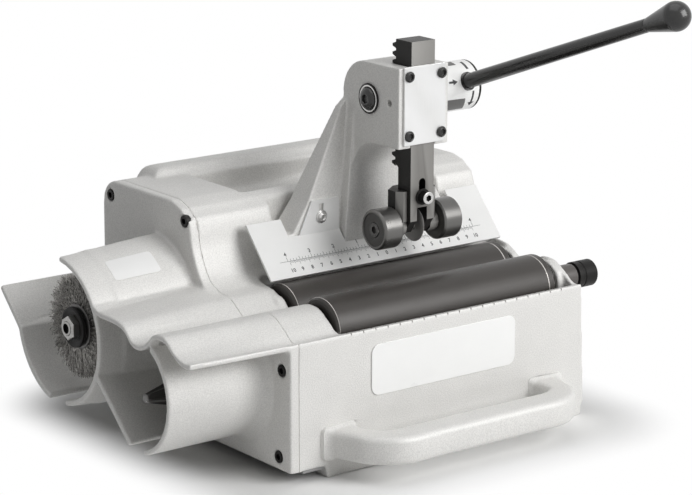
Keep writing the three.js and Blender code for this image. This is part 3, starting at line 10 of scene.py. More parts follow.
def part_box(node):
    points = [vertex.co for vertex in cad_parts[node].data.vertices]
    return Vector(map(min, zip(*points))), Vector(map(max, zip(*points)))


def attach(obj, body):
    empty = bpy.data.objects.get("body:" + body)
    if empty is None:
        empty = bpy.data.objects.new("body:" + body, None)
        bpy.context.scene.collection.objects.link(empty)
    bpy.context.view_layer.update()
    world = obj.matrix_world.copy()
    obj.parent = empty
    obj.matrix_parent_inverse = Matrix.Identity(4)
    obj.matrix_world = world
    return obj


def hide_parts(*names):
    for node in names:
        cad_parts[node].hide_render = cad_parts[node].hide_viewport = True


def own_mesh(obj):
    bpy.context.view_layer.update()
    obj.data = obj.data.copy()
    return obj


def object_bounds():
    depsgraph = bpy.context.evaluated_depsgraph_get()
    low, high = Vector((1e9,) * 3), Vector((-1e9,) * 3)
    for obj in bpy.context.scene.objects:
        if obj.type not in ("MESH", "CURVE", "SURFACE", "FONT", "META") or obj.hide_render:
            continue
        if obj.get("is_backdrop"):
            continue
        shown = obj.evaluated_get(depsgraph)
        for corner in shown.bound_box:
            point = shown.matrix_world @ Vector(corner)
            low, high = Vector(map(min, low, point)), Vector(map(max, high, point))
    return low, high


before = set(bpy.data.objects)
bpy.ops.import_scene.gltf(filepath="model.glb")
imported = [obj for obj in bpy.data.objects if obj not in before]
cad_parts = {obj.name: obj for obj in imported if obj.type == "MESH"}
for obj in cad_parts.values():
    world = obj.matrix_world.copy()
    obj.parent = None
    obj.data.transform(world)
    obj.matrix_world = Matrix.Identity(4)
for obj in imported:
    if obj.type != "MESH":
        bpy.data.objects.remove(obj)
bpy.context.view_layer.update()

scene = bpy.context.scene

# Camera
# A long lens looks down on the machine from its front left corner, as in a catalogue picture.
MM = 0.001
REAR_ROLLER_Y = -7.5
CAMERA_AT = (-1405.41, -1782.735, 743.46)
CAMERA_YAW, CAMERA_PITCH, CAMERA_ROLL = (math.radians(turn) for turn in (37.360, 14.575, 0.105))
CAMERA_LENS, SENSOR, CLIP_END = 141.11, 36, 30

wheel_low, wheel_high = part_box("cutter_wheel")
rear_low, rear_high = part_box("rear_roller")
CUT_PLANE = (wheel_low.x + wheel_high.x) / 2
RULER_LINE = (rear_low.y + rear_high.y) / 2 - REAR_ROLLER_Y * MM


def at(x, y, z):
    """Metres in the frame from millimetres right of the cutting plane, behind the ruler line and up."""
    return Vector((CUT_PLANE + x * MM, RULER_LINE + y * MM, z * MM))


def linked(name, data):
    made = bpy.data.objects.new(name, data)
    scene.collection.objects.link(made)
    return made


def put(thing, **values):
    """The thing with its values set."""
    for key, value in values.items():
        setattr(thing, key, value)
    return thing


camera = linked("camera", bpy.data.cameras.new("camera"))
camera.location = at(*CAMERA_AT)
heading = Matrix.Rotation(-CAMERA_YAW, 3, "Z") @ Matrix.Rotation(math.pi / 2 - CAMERA_PITCH, 3, "X")
camera.rotation_euler = (heading @ Matrix.Rotation(CAMERA_ROLL, 3, "Z")).to_euler()
put(camera.data, lens=CAMERA_LENS, sensor_width=SENSOR, clip_end=CLIP_END)
scene.camera = camera
scene.view_settings.view_transform = "Standard"

# Studio
# A white paper sweep, one broad lamp at the front right, one overhead and a weak one on the left. The
# paper itself glows white past the shadow round the machine's foot.
SQUARE = ((-1, -1), (1, -1), (1, 1), (-1, 1))
FLOOR_REACH, FLOOR_COLOUR = 12, (0.9, 0.9, 0.895, 1)
FOOT_MIDDLE, FOOT_HALF = (0.02, 0.09, 0), (0.14, 0.14, 1)
SWEEP_START, SWEEP_END = 0.035, 0.11
LAMPS = (
    ("front_right_lamp", (0.8, -1.75, 1.15), 1.3, 38),
    ("overhead_lamp", (-0.2, -0.1, 1.75), 1.5, 8),
    ("left_lamp", (-1.9, -0.5, 0.9), 1.0, 0.4),
)
LAMP_TARGET = (0, 0, 0.12)
SEEN_COLOUR, FILL_COLOUR, FILL = (1, 1, 1, 1), (0.96, 0.98, 1, 1), 0.055


def add(tree, kind, inputs=None, **settings):
    """A node with its settings, its plain inputs, and those linked to a socket or a whole node."""
    made = put(tree.nodes.new(kind), **settings)
    for key, value in (inputs or {}).items():
        if isinstance(value, bpy.types.Node):
            value = value.outputs[0]
        if isinstance(value, bpy.types.NodeSocket):
            tree.links.new(value, made.inputs[key])
        else:
            made.inputs[key].default_value = value
    return made


def calc(tree, operation, *terms):
    return add(tree, "ShaderNodeMath", dict(enumerate(terms)), operation=operation).outputs[0]


def ranged(tree, value, low, high, first=0, last=1, way="LINEAR"):
    """Brings a value between low and high to one between first and last."""
    ends = {"Value": value, "From Min": low, "From Max": high, "To Min": first, "To Max": last}
    return add(tree, "ShaderNodeMapRange", ends, interpolation_type=way).outputs["Result"]


def blank(owner):
    """The emptied node tree of a world or a material."""
    owner.use_nodes = True
    owner.node_tree.nodes.clear()
    return owner.node_tree


for lamp_name, spot, size, power in LAMPS:
    lamp = linked(lamp_name, bpy.data.lights.new(lamp_name, "AREA"))
    put(lamp.data, size=size, energy=power)
    lamp.location = spot
    lamp.rotation_euler = (Vector(LAMP_TARGET) - Vector(spot)).to_track_quat("-Z", "Y").to_euler()

scene.world = bpy.data.worlds.new("studio")
tree = blank(scene.world)
seen = add(tree, "ShaderNodeBackground", {"Color": SEEN_COLOUR, "Strength": 1})
fill = add(tree, "ShaderNodeBackground", {"Color": FILL_COLOUR, "Strength": FILL})
path = add(tree, "ShaderNodeLightPath").outputs
white = calc(tree, "MAXIMUM", path["Is Camera Ray"], path["Is Transmission Ray"])
white = calc(tree, "MAXIMUM", white, path["Is Glossy Ray"])
mixed = add(tree, "ShaderNodeMixShader", {"Fac": white, 1: fill, 2: seen})
add(tree, "ShaderNodeOutputWorld", {"Surface": mixed})

floor_mesh = bpy.data.meshes.new("floor")
floor_mesh.from_pydata([(x * FLOOR_REACH, y * FLOOR_REACH, 0) for x, y in SQUARE], [], [(0, 1, 2, 3)])
floor = linked("floor", floor_mesh)
floor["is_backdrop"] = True
sweep = bpy.data.materials.new("white_sweep")
tree = blank(sweep)
paper = add(tree, "ShaderNodeBsdfDiffuse", {"Color": FLOOR_COLOUR})
glow = add(tree, "ShaderNodeEmission")
beyond = add(tree, "ShaderNodeTexCoord").outputs["Object"]
for operation, *term in (
    ("SUBTRACT", FOOT_MIDDLE), ("ABSOLUTE",), ("SUBTRACT", FOOT_HALF), ("MAXIMUM", (0, 0, 0)),
):
    beyond = add(tree, "ShaderNodeVectorMath", dict(enumerate((beyond, *term))), operation=operation)
reach = add(tree, "ShaderNodeVectorMath", {0: beyond}, operation="LENGTH").outputs["Value"]
fade = ranged(tree, reach, SWEEP_START, SWEEP_END, way="SMOOTHSTEP")
path = add(tree, "ShaderNodeLightPath").outputs
share = calc(tree, "MULTIPLY", fade, calc(tree, "MAXIMUM", path["Is Camera Ray"], path["Is Glossy Ray"]))
mixed = add(tree, "ShaderNodeMixShader", {"Fac": share, 1: paper, 2: glow})
add(tree, "ShaderNodeOutputMaterial", {"Surface": mixed})
floor_mesh.materials.append(sweep)

# Cast body
# One sand casting in aluminium alloy, bead blasted: a long box with a hump for the motor, an open
# bay for the rollers, a carry grip and a hand recess. The mould leaves its edges round.
WELD, SHARP, FLAT = 2e-6, math.radians(33), math.radians(0.3)
NOISE_LOW, NOISE_HIGH, BUMP_HEIGHT = 0.3, 0.7, 0.0003
# How sharp an edge must be to take the lighter edge colour, which is part wear and part painted highlight
WEAR_AND_HIGHLIGHT_START, WEAR_AND_HIGHLIGHT_FULL, WEAR_AND_HIGHLIGHT_SHARE = 0.52, 0.6, 0.8
MATT_SWING, MATT_LEAST = 0.07, 0.04
# The cast edges' lighter colour is wear on the rims together with a painted highlight
CAST_COLOUR, CAST_WEAR_AND_HIGHLIGHT = (0.74, 0.732, 0.712), (0.86, 0.85, 0.83)
BODY_GRID, BODY_PASSES, MOST_FACES = 1.6, 7, 190000
BODY_FRONT, BODY_LEFT = -99.4, -167.5
HUMP_SHOULDER, SHELF, HUMP_TOP = 71, 118, 207.3
WAVE_STEPS, WAVE_DROP, WAVE_NEAR = 900, 2, 0.9
WAVE_SHARES = (
    (0, 0.021), (0.052, 0.006), (0.12, 0.1), (0.202, 0.19), (0.29, 0.19), (0.365, 0.11),
    (0.425, 0.045), (0.49, 0.12), (0.566, 0.207), (0.66, 0.235), (0.742, 0.323), (0.809, 0.56),
    (0.86, 0.88), (1, 1),
)
SEAM_CLEAR, SEAM_BLEND = 1.0, 5.0
BAY_FRONT, LIP_BAND, BAY_RIGHT, WALL_BAND, WALL_BACK, CRISP_SHARE = -92, 4, 133.5, 2, 30, 0.3
TICK_COUNT, TICK_PITCH, TICK_WIDTH, TICK_LENGTH, TICK_DEPTH, TICK_RISE = 19, 12.7, 1.3, 8.5, 1.3, 0.9
TICK_OVERLAP = 0.5


def surface(name, colour, roughness, metallic=0.0, grain=1400, depth=0.15, mottle=0.05,
            cloud=38, stretch=(1, 1, 1), wear_and_highlight=None, coat=0.0, fleck=0.5, shine=0.5):
    """Metal, paint or plastic: faint mottling, a fine grain, and sharp edges in a lighter colour, part wear
    and part painted highlight.
    """
    material = bpy.data.materials.new(name)
    material.use_nodes = True
    tree = material.node_tree
    shader = tree.nodes["Principled BSDF"].inputs
    for key, value in (("Metallic", metallic), ("Coat Weight", coat), ("Specular IOR Level", shine)):
        shader[key].default_value = value
    place = add(tree, "ShaderNodeTexCoord").outputs["Object"]
    along = add(tree, "ShaderNodeMapping", {"Vector": place, "Scale": stretch})
    wide = add(tree, "ShaderNodeTexNoise", {"Vector": place, "Scale": cloud, "Detail": 4}).outputs[0]
    fine = add(tree, "ShaderNodeTexNoise", {"Vector": along, "Scale": grain, "Detail": 3}).outputs[0]
    both = calc(tree, "MULTIPLY_ADD", wide, 1 - fleck, calc(tree, "MULTIPLY", fine, fleck))
    both = ranged(tree, both, NOISE_LOW, NOISE_HIGH)
    dark, light = [(*[min(1, c * (1 + way * mottle)) for c in colour], 1) for way in (-1, 1)]
    tint = add(tree, "ShaderNodeMix", {0: both, 6: dark, 7: light}, data_type="RGBA").outputs[2]
    # Convex edges, found by pointiness, take the lighter colour: wear on the rims and a painted highlight
    # where rounded rims catch the lamps
    if wear_and_highlight:
        edge = add(tree, "ShaderNodeNewGeometry").outputs["Pointiness"]
        rise = ranged(tree, edge, WEAR_AND_HIGHLIGHT_START, WEAR_AND_HIGHLIGHT_FULL, 0, WEAR_AND_HIGHLIGHT_SHARE)
        tint = add(tree, "ShaderNodeMix", {0: rise, 6: tint, 7: (*wear_and_highlight, 1)}, data_type="RGBA").outputs[2]
    least, most = max(MATT_LEAST, roughness - MATT_SWING), min(1, roughness + MATT_SWING)
    matt = ranged(tree, wide, 0, 1, least, most)
    bumps = {"Height": fine, "Strength": depth, "Distance": BUMP_HEIGHT}
    bump = add(tree, "ShaderNodeBump", bumps).outputs["Normal"]
    for key, socket in (("Base Color", tint), ("Roughness", matt), ("Normal", bump)):
        tree.links.new(socket, shader[key])
    return material


def finished(piece):
    """The mesh that a piece's modifiers leave, without the piece."""
    mesh = bpy.data.meshes.new_from_object(piece.evaluated_get(bpy.context.evaluated_depsgraph_get()))
    mesh.name = piece.name
    bpy.data.objects.remove(piece)
    return mesh


def modified(name, data, *steps):
    """A mesh or curve after modifiers, each a kind and its settings."""
    piece = linked(name, data)
    for kind, settings in steps:
        put(piece.modifiers.new(kind, kind), **settings)
    return finished(piece)


def mesh_from(name, shape, outwards=True):
    """A shape's mesh, its faces turned outwards if asked."""
    if outwards:
        bmesh.ops.recalc_face_normals(shape, faces=shape.faces)
    mesh = bpy.data.meshes.new(name)
    shape.to_mesh(mesh)
    shape.free()
    return mesh


def solid_copy(name, node, merged=False):
    """A CAD solid's mesh, its triangles welded and flat faces merged if asked."""
    shape = bmesh.new()
    shape.from_mesh(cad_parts[node].data)
    bmesh.ops.remove_doubles(shape, verts=shape.verts, dist=WELD)
    if merged:
        bmesh.ops.dissolve_limit(shape, angle_limit=FLAT, verts=shape.verts, edges=shape.edges)
    return mesh_from(name, shape, outwards=False)


def coordinates(mesh):
    """A mesh's points in millimetres, as at() takes them."""
    flat = np.empty(3 * len(mesh.vertices))
    mesh.vertices.foreach_get("co", flat)
    return (flat.reshape(-1, 3) - np.array(at(0, 0, 0))) / MM


def move_to(mesh, places):
    mesh.vertices.foreach_set("co", (places * MM + np.array(at(0, 0, 0))).ravel())
    mesh.update()


def melted(mesh, passes, share_at):
    """Rounds a mesh: each point moves by its share to the middle of its neighbours."""
    places = coordinates(mesh)
    share = share_at(places)[:, None] / 2
    ends = np.empty(2 * len(mesh.edges), dtype=np.int32)
    mesh.edges.foreach_get("vertices", ends)
    first, second = ends.reshape(-1, 2).T
    near = np.bincount(ends, minlength=len(places))[:, None]
    for _ in range(passes):
        total = np.stack([
            np.bincount(first, places[second, k], len(places))
            + np.bincount(second, places[first, k], len(places))
            for k in range(3)
        ], axis=1)
        places += share * (total / near - places)
    move_to(mesh, places)


def cast(name, node, grid, passes, true_up, share_at):
    """A CAD casting on an even grid, its curves trued up and its edges melted round."""
    skin = modified(name, solid_copy(name, node), ("REMESH", dict(mode="VOXEL", voxel_size=grid * MM)))
    places = coordinates(skin)
    true_up(places)
    move_to(skin, places)
    melted(skin, passes, share_at)
    share = MOST_FACES / (2 * len(skin.polygons))
    skin = modified(name, skin, *[("DECIMATE", {"ratio": share})] * (share < 1))
    skin.shade_smooth()
    return skin


def placed(name, mesh, material, body="machine", nodes=(), angle=None):
    """Puts a mesh on its body with its finish, in place of the given CAD nodes or its namesake."""
    if angle:
        mesh.shade_smooth()
        mesh.set_sharp_from_angle(angle=math.radians(angle))
    if not mesh.materials:
        mesh.materials.append(material)
    piece = linked(name, mesh)
    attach(piece, body)
    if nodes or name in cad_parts:
        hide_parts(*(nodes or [name]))
    return piece


def catmull(points, steps):
    """Even steps along a smooth curve through the points."""
    curve = []
    last = len(points) - 1
    for i in range(steps + 1):
        place = i / steps * last
        k = min(int(place), last - 1)
        t = place - k
        curve.append(tuple(
            q + t * ((r - p) / 2 + t * (p - 2.5 * q + 2 * r - s / 2 + t * (1.5 * (q - r) + (s - p) / 2)))
            for p, q, r, s in zip(*(points[min(max(k + n, 0), last)] for n in (-1, 0, 1, 2)))
        ))
    return np.array(curve)


def pull_to_curve(places, rows, curve, tolerance, batch=4000):
    """Sets the points of some rows that lie near a curve in Y and Z on it."""
    picked = np.flatnonzero(rows)
    for start in range(0, len(picked), batch):
        part = picked[start:start + batch]
        gaps = ((places[part, None, 1:] - curve[None]) ** 2).sum(axis=2)
        nearest = gaps.argmin(axis=1)
        close = gaps[np.arange(len(part)), nearest] < tolerance ** 2
        places[part[close], 1:] = curve[nearest[close]]


def skyline(shares, reach, rise, steps):
    """A wavy line from the body's front edge, by shares of its reach and rise."""
    return catmull([(BODY_FRONT + along * reach, SHELF + up * rise) for along, up in shares], steps)


wave = skyline(WAVE_SHARES, HUMP_SHOULDER - BODY_FRONT, HUMP_TOP - SHELF, WAVE_STEPS)


def true_wave(places, left=-math.inf):
    """Sets the hump's front on its wave, to the right of a place."""
    rows = (places[:, 0] > left) & (places[:, 2] > SHELF - WAVE_DROP) & (places[:, 1] < HUMP_SHOULDER)
    pull_to_curve(places, rows, wave, WAVE_NEAR)


def clear_of_seam(places):
    return np.clip((abs(places[:, 0] - BODY_LEFT) - SEAM_CLEAR) / SEAM_BLEND, 0, 1)


def crisp_at_lip(places):
    """The seam stays sharp, and the lip and the bay's right wall keep smaller rounds."""
    near_lip = (places[:, 1] < BAY_FRONT + LIP_BAND) & (places[:, 2] > SHELF - LIP_BAND)
    near_wall = (abs(places[:, 0] - BAY_RIGHT) < WALL_BAND) & (places[:, 1] < WALL_BACK)
    return clear_of_seam(places) * np.where(near_lip | near_wall, CRISP_SHARE, 1)


def shape_tree(name, **kinds):
    """A shape tree with the named inputs of each kind, and their sockets."""
    tree = bpy.data.node_groups.new(name, "GeometryNodeTree")
    tree.interface.new_socket("Geometry", in_out="OUTPUT", socket_type="NodeSocketGeometry")
    for kind, labels in kinds.items():
        for label in labels.split():
            tree.interface.new_socket(label, in_out="INPUT", socket_type=f"NodeSocket{kind}")
    return tree, tree.nodes.new("NodeGroupInput").outputs


def closed_tree(tree, geometry, material):
    """Ends a shape tree: its instances made real and coated."""
    real = add(tree, "GeometryNodeRealizeInstances", {0: geometry})
    add(tree, "NodeGroupOutput", {0: add(tree, "GeometryNodeSetMaterial", {0: real, "Material": material})})


def grown(name, tree, lay=Matrix(), start=None, **values):
    """What a shape tree makes of its inputs, laid in its place."""
    piece = linked(name, start or bpy.data.meshes.new(name))
    live = piece.modifiers.new(name, "NODES")
    live.node_group = tree
    for socket in tree.interface.items_tree:
        if socket.in_out == "INPUT" and socket.name in values:
            value = values[socket.name]
            whole = socket.socket_type != "NodeSocketFloat"
            live[socket.identifier] = value if whole else float(value)
    mesh = finished(piece)
    mesh.transform(lay)
    return mesh


def laid(x, y, z, turn=Matrix()):
    """Lays a shape in millimetres at a place, turned."""
    return Matrix.Translation(at(x, y, z)) @ turn.to_4x4() @ Matrix.Scale(MM, 4)


def cut(mesh, tool_mesh):
    """A mesh with the shape of a tool cut out of it."""
    tool = linked(mesh.name + "_tool", tool_mesh)
    settings = dict(operation="DIFFERENCE", solver="MANIFOLD", object=tool)
    result = modified(mesh.name, mesh, ("BOOLEAN", settings))
    bpy.data.objects.remove(tool)
    result.materials.clear()
    return result


# The tree for a row of strokes along X in millimetres, with longer ones at every few places
tick_tree, given = shape_tree(
    "tick_row", Int="Count", Float="Pitch Width Rise Short Middle Long Middle_every Long_every",
    Material="Material",
)
node, value = partial(add, tick_tree), partial(calc, tick_tree)
first = value("MULTIPLY", value("SUBTRACT", given["Count"], 1), -0.5)
start = node("ShaderNodeCombineXYZ", {0: value("MULTIPLY", first, given["Pitch"])})
step = node("ShaderNodeCombineXYZ", {0: given["Pitch"]})
row = node("GeometryNodeMeshLine", {"Count": given["Count"], "Start Location": start, "Offset": step})
index = value("ABSOLUTE", value("ADD", node("GeometryNodeInputIndex"), first))
tall = given["Short"]
for every, length in (("Middle_every", "Middle"), ("Long_every", "Long")):
    on = value("COMPARE", value("MODULO", index, given[every]), 0, 0.01)
    tall = value("ADD", tall, value("MULTIPLY", on, value("SUBTRACT", given[length], tall)))
stroke = node("ShaderNodeCombineXYZ", {0: given["Width"], 1: 1, 2: given["Rise"]})
stroke = node("GeometryNodeMeshCube", {"Size": stroke})
stroke = node("GeometryNodeTransform", {"Geometry": stroke, "Translation": (0, 0.5, 0)})
grow = node("ShaderNodeCombineXYZ", {0: 1, 1: tall, 2: 1})
strokes = node("GeometryNodeInstanceOnPoints", {"Points": row, "Instance": stroke, "Scale": grow})
closed_tree(tick_tree, strokes, given["Material"])


def tick_row(name, lay, count, pitch, width, rise, lengths, every, material):
    """A row of strokes in three lengths, and how often the longer ones come."""
    sizes = dict(zip(("Short", "Middle", "Long", "Middle_every", "Long_every"), (*lengths, *every)))
    return grown(name, tick_tree, lay, Count=count, Pitch=pitch, Width=width, Rise=rise,
                 Material=material, **sizes)


cast_aluminium = surface(
    "cast_aluminium", CAST_COLOUR, 0.5, 0.12, grain=1000, depth=0.8, mottle=0.13, wear_and_highlight=CAST_WEAR_AND_HIGHLIGHT,
    fleck=0.85,
)
body_mesh = cast("cast_body", "main_housing", BODY_GRID, BODY_PASSES, true_wave, crisp_at_lip)
notches = tick_row(
    "notches", laid(0, BAY_FRONT - TICK_LENGTH + TICK_OVERLAP, SHELF + TICK_RISE), TICK_COUNT,
    TICK_PITCH, TICK_WIDTH, 2 * TICK_DEPTH, [TICK_LENGTH] * 3, (5, 10), cast_aluminium,
)
placed("cast_body", cut(body_mesh, notches), cast_aluminium, nodes=["main_housing"], angle=60)

# Base cover and drive
# A grey steel sheet closes the underside. Over it stand the gear motor and three flat rubber belts
# that turn the rollers and both spindles in ball bearings.
SHEET_GREY, MOTOR_GREY, RUBBER = (0.16, 0.16, 0.165), (0.2, 0.21, 0.22), (0.025, 0.024, 0.024)
# The grey edge colour is wear together with a painted highlight on the sharp edges
STEEL_COLOUR, BARE_COLOUR, GREY_WEAR_AND_HIGHLIGHT = (0.56, 0.555, 0.545), (0.7, 0.7, 0.69), (0.4, 0.4, 0.4)


def shown(material, *nodes):
    """Gives CAD nodes that keep their own shape a finish."""
    for node in nodes:
        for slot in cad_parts[node].material_slots:
            slot.material = material


sheet_steel = surface("sheet_steel", SHEET_GREY, 0.5, 0.2, wear_and_highlight=GREY_WEAR_AND_HIGHLIGHT)
motor_paint = surface("motor_paint", MOTOR_GREY, 0.45, 0.2, depth=0.25, wear_and_highlight=GREY_WEAR_AND_HIGHLIGHT)
rubber = surface("belt_rubber", RUBBER, 0.75, grain=2500, depth=0.4, mottle=0.2)
bright_steel = surface(
    "bright_steel", STEEL_COLOUR, 0.28, 0.9, grain=1800, mottle=0.1, stretch=(1, 0.05, 0.05),
    wear_and_highlight=(0.75, 0.75, 0.74),
)
bare_aluminium = surface(
    "bare_aluminium", BARE_COLOUR, 0.36, 0.6, grain=1800, mottle=0.06, stretch=(1, 1, 0.03),
    wear_and_highlight=(0.8, 0.8, 0.8),
)
shown(sheet_steel, "base_cover")
shown(motor_paint, "gear_motor")
shown(rubber, "main_belt", "front_roller_belt", "rear_roller_belt")
shown(bright_steel, "front_bearing_left", "front_bearing_right", "rear_bearing_left",
      "rear_bearing_right", "brush_bearing", "reamer_bearing", "drive_pulley")
shown(bare_aluminium, "front_roller_pulley", "rear_roller_pulley")

# Left end casting
# A second casting closes the left end and carries the guard: a thick plate with a wavy skin and two
# open round rooms, one over the wire brush and one over the reamer. Its thin rims are rounded.
GUARD_GRID, GUARD_PASSES = 1.25, 6
GUARD_END, GUARD_ROOT, PLATE_OUTER = -274, -172, -176.5
GUARD_WALL, GUARD_DRAFT = 4.5, 7
PLATE_BAND, PLATE_CLEAR = 2, 9
BRUSH_Y, BRUSH_Z, BRUSH_ROOM = 97, 104.3, 60
REAMER_Y, REAMER_Z = -18, 71.5
ROOMS = ((BRUSH_Y, BRUSH_Z, BRUSH_ROOM), (BRUSH_Y, BRUSH_Z, 62.5), (REAMER_Y, 78.1, 46.8))
ROOM_BIAS, ROOM_NEAR = 0.25, 0.6
SKIN_REACH, SKIN_RISE, SKIN_STEP, SKIN_DROP, SKIN_NEAR, SKIN_POINTS = 144, 17.3, 3, 6, 0.55, 400
PLATE_SKIN = (
    (0, 0.11), (0.062, 0.03), (0.142, 0.52), (0.239, 0.98), (0.343, 0.98), (0.43, 0.58), (0.503, 0.23),
    (0.579, 0.61), (0.669, 1.04), (0.76, 1.21), (0.843, 1.33), (0.926, 1.35), (1, 1.39),
)
END_SKIN = (
    (0, 0.2), (0.06, 0.18), (0.147, 0.4), (0.253, 1), (0.363, 0.92), (0.433, 0.4), (0.51, 0.12),
    (0.588, 0.2), (0.668, 0.77), (0.76, 0.91), (0.843, 0.94), (0.926, 0.96), (1, 1.25),
)
end_skin = skyline(END_SKIN, SKIN_REACH, SKIN_RISE, SKIN_POINTS)
plate_skin = skyline(PLATE_SKIN, SKIN_REACH, SKIN_RISE, SKIN_POINTS)


def push_to_round(places, rows, y, z, aim, bias, near):
    """Sets the points of some rows that lie near a round wall in Y and Z on it."""
    off = places[:, 1:] - (y, z)
    radius = np.hypot(off[:, 0], off[:, 1])
    picked = rows & (abs(radius - aim + bias) < near)
    places[picked, 1:] = (y, z) + off[picked] * (aim / radius)[picked, None]


def true_guard(places):
    """Sets the guard's faceted skin and walls on their true curves."""
    true_wave(places, PLATE_OUTER - PLATE_BAND)
    outside = places[:, 0] < PLATE_OUTER - PLATE_CLEAR
    share = (places[:, 0] - GUARD_END) / (GUARD_ROOT - GUARD_END)
    for y, z, room in ROOMS:
        draft = GUARD_DRAFT if room == BRUSH_ROOM else 0
        for aim in (room + 0 * share, room + GUARD_WALL + draft * share):
            push_to_round(places, outside, y, z, aim, ROOM_BIAS, ROOM_NEAR)
    for low in np.arange(GUARD_END - 1, PLATE_OUTER, SKIN_STEP):
        row = (places[:, 0] >= low) & (places[:, 0] < low + SKIN_STEP)
        row &= (places[:, 1] < BODY_FRONT + SKIN_REACH) & (places[:, 2] > SHELF - SKIN_DROP)
        mid = (low + SKIN_STEP / 2 - GUARD_END) / (GUARD_ROOT - GUARD_END)
        skin = end_skin * (1 - mid) + plate_skin * mid
        pull_to_curve(places, row, skin, SKIN_NEAR)
        pull_to_curve(places, row, skin - (0, GUARD_WALL), SKIN_NEAR)


guard_mesh = cast("end_guard", "prep_end_casting", GUARD_GRID, GUARD_PASSES, true_guard, clear_of_seam)
placed("end_guard", guard_mesh, cast_aluminium, nodes=["prep_end_casting"])

# End screws
# Four black hexagon socket screws hold the end casting, each sunk in its own counterbore.
# The second colour lightens the black edges: wear together with a painted highlight
BLACK_COLOUR, BLACK_WEAR_AND_HIGHLIGHT = (0.011, 0.0105, 0.01), (0.07, 0.068, 0.066)
END_SCREWS = ((165.2, 193.8), (51.2, 192.8), (-86.9, 96), (-82.2, 21.5))
END_HEAD, END_HEIGHT, END_SHANK, END_DEPTH = 5, 4.5, 3, 15.5
SOCKET_SHARE, SOCKET_FLOOR = 0.5, 0.35
FINE, COARSE = 96, 36
AXIS_X = Matrix(((0, 0, 1), (1, 0, 0), (0, 1, 0)))
AXIS_Y = Matrix(((1, 0, 0), (0, 0, 1), (0, -1, 0)))


def along_x(y, z, x=0):
    """Lays a turned piece's axis along X, through a place."""
    return laid(x, y, z, AXIS_X)


def along_y(x, z, y=0):
    return laid(x, y, z, AXIS_Y)


def eased(mesh, edge, segments=2):
    """Rounds the sharp edges of a mesh and shades its flats evenly."""
    mesh.shade_smooth()
    bevel = dict(width=edge * MM, segments=segments, limit_method="ANGLE", angle_limit=SHARP)
    return modified(mesh.name, mesh, ("BEVEL", bevel), ("WEIGHTED_NORMAL", {"keep_sharp": True}))


def turned(name, lay, profile, edge=0.3, steps=FINE, finishes=(), painted=()):
    """A turned piece: places along its axis and radii, a hexagon's half width where negative.

    The painted stretches of the profile get the second of the finishes."""
    shape = bmesh.new()
    rings = []
    for along, radius in profile:
        ring = []
        for i in range(steps if radius else 1):
            angle = 2 * math.pi * i / steps
            reach = radius
            if radius < 0:
                reach = -radius / math.cos((angle + math.pi / 6) % (math.pi / 3) - math.pi / 6)
            spot = Vector((reach * math.cos(angle), reach * math.sin(angle), along))
            ring.append(shape.verts.new(lay @ spot))
        rings.append(ring)
    pairs = list(zip(rings, rings[1:]))
    if len(rings[0]) > 1 and len(rings[-1]) > 1:
        pairs.append((rings[-1], rings[0]))
    for k, (low, high) in enumerate(pairs):
        for i in range(steps):
            j = (i + 1) % steps
            loop = [low[i % len(low)], low[j % len(low)], high[j % len(high)], high[i % len(high)]]
            loop = list(dict.fromkeys(loop))
            if len(loop) > 2:
                shape.faces.new(loop).material_index = int(k in painted)
    mesh = mesh_from(name, shape)
    for finish in finishes:
        mesh.materials.append(finish)
    return eased(mesh, edge)


def screw_profile(head, height, shank, depth, dome=0.0):
    """A socket screw from the bottom of its socket, with the seat of its head at zero."""
    socket = -head * SOCKET_SHARE
    floor = -height * SOCKET_FLOOR
    rim = [(-height, head - dome), (dome - height, head)] if dome else [(-height, head)]
    return [(floor, 0), (floor, socket), (-height, socket), *rim, (0, head), (0, shank), (depth, shank),
            (depth, 0)]


# The tree for copies of one piece on marked places
set_tree, given = shape_tree("set_out", Geometry="Places", Object="Piece", Material="Material")
original = add(set_tree, "GeometryNodeObjectInfo", {"Object": given["Piece"]})
copies = add(set_tree, "GeometryNodeInstanceOnPoints", {
    "Points": given["Places"], "Instance": original.outputs["Geometry"],
})
closed_tree(set_tree, copies, given["Material"])


def set_out(name, piece_mesh, places, material):
    """Copies of a screw at places in millimetres from its own, for their CAD nodes."""
    marks = bpy.data.meshes.new(name)
    marks.from_pydata([tuple(c * MM for c in place) for place in places], [], [])
    original = linked(name + "_original", piece_mesh)
    mesh = grown(name, set_tree, start=marks, Piece=original, Material=material)
    bpy.data.objects.remove(original)
    placed(name, mesh, material, nodes=[f"{name[:-1]}_{i + 1}" for i in range(len(places))])


black_steel = surface(
    "black_steel", BLACK_COLOUR, 0.4, grain=2200, depth=0.2, mottle=0.15, wear_and_highlight=BLACK_WEAR_AND_HIGHLIGHT, shine=0.13,
)
end_screw = turned("end_screw", along_x(0, 0, PLATE_OUTER + END_HEIGHT),
                   screw_profile(END_HEAD, END_HEIGHT, END_SHANK, END_DEPTH), steps=COARSE)
set_out("end_screws", end_screw, [(0, y, z) for y, z in END_SCREWS], black_steel)

# Guard plate
# A thin white enamelled plate with rounded corners, bent to the guard's round flank and left bare.
WHITE_COLOUR = (0.93, 0.93, 0.92)
PLATE_LOW_X, PLATE_HIGH_X, PLATE_ROWS, PLATE_TURNS = -245, -201, 24, 12
PLATE_LOW_TURN, PLATE_HIGH_TURN = math.radians(115), math.radians(134)
PLATE_CORNER, PLATE_GAP, PLATE_THICKNESS = 3, 0.1, 0.6


def skinned(rings):
    """A shape of rings, each skinned to the next, with both ends closed."""
    shape = bmesh.new()
    made = [[shape.verts.new(place) for place in ring] for ring in rings]
    count = len(made[0])
    for low, high in zip(made, made[1:]):
        for i in range(count):
            shape.faces.new((low[i], low[(i + 1) % count], high[(i + 1) % count], high[i]))
    for ring in (made[0], made[-1]):
        shape.faces.new(ring)
    return shape


def swept(name, rings):
    """Skinned rings of places in millimetres."""
    return mesh_from(name, skinned([[at(*place) for place in ring] for ring in rings]))


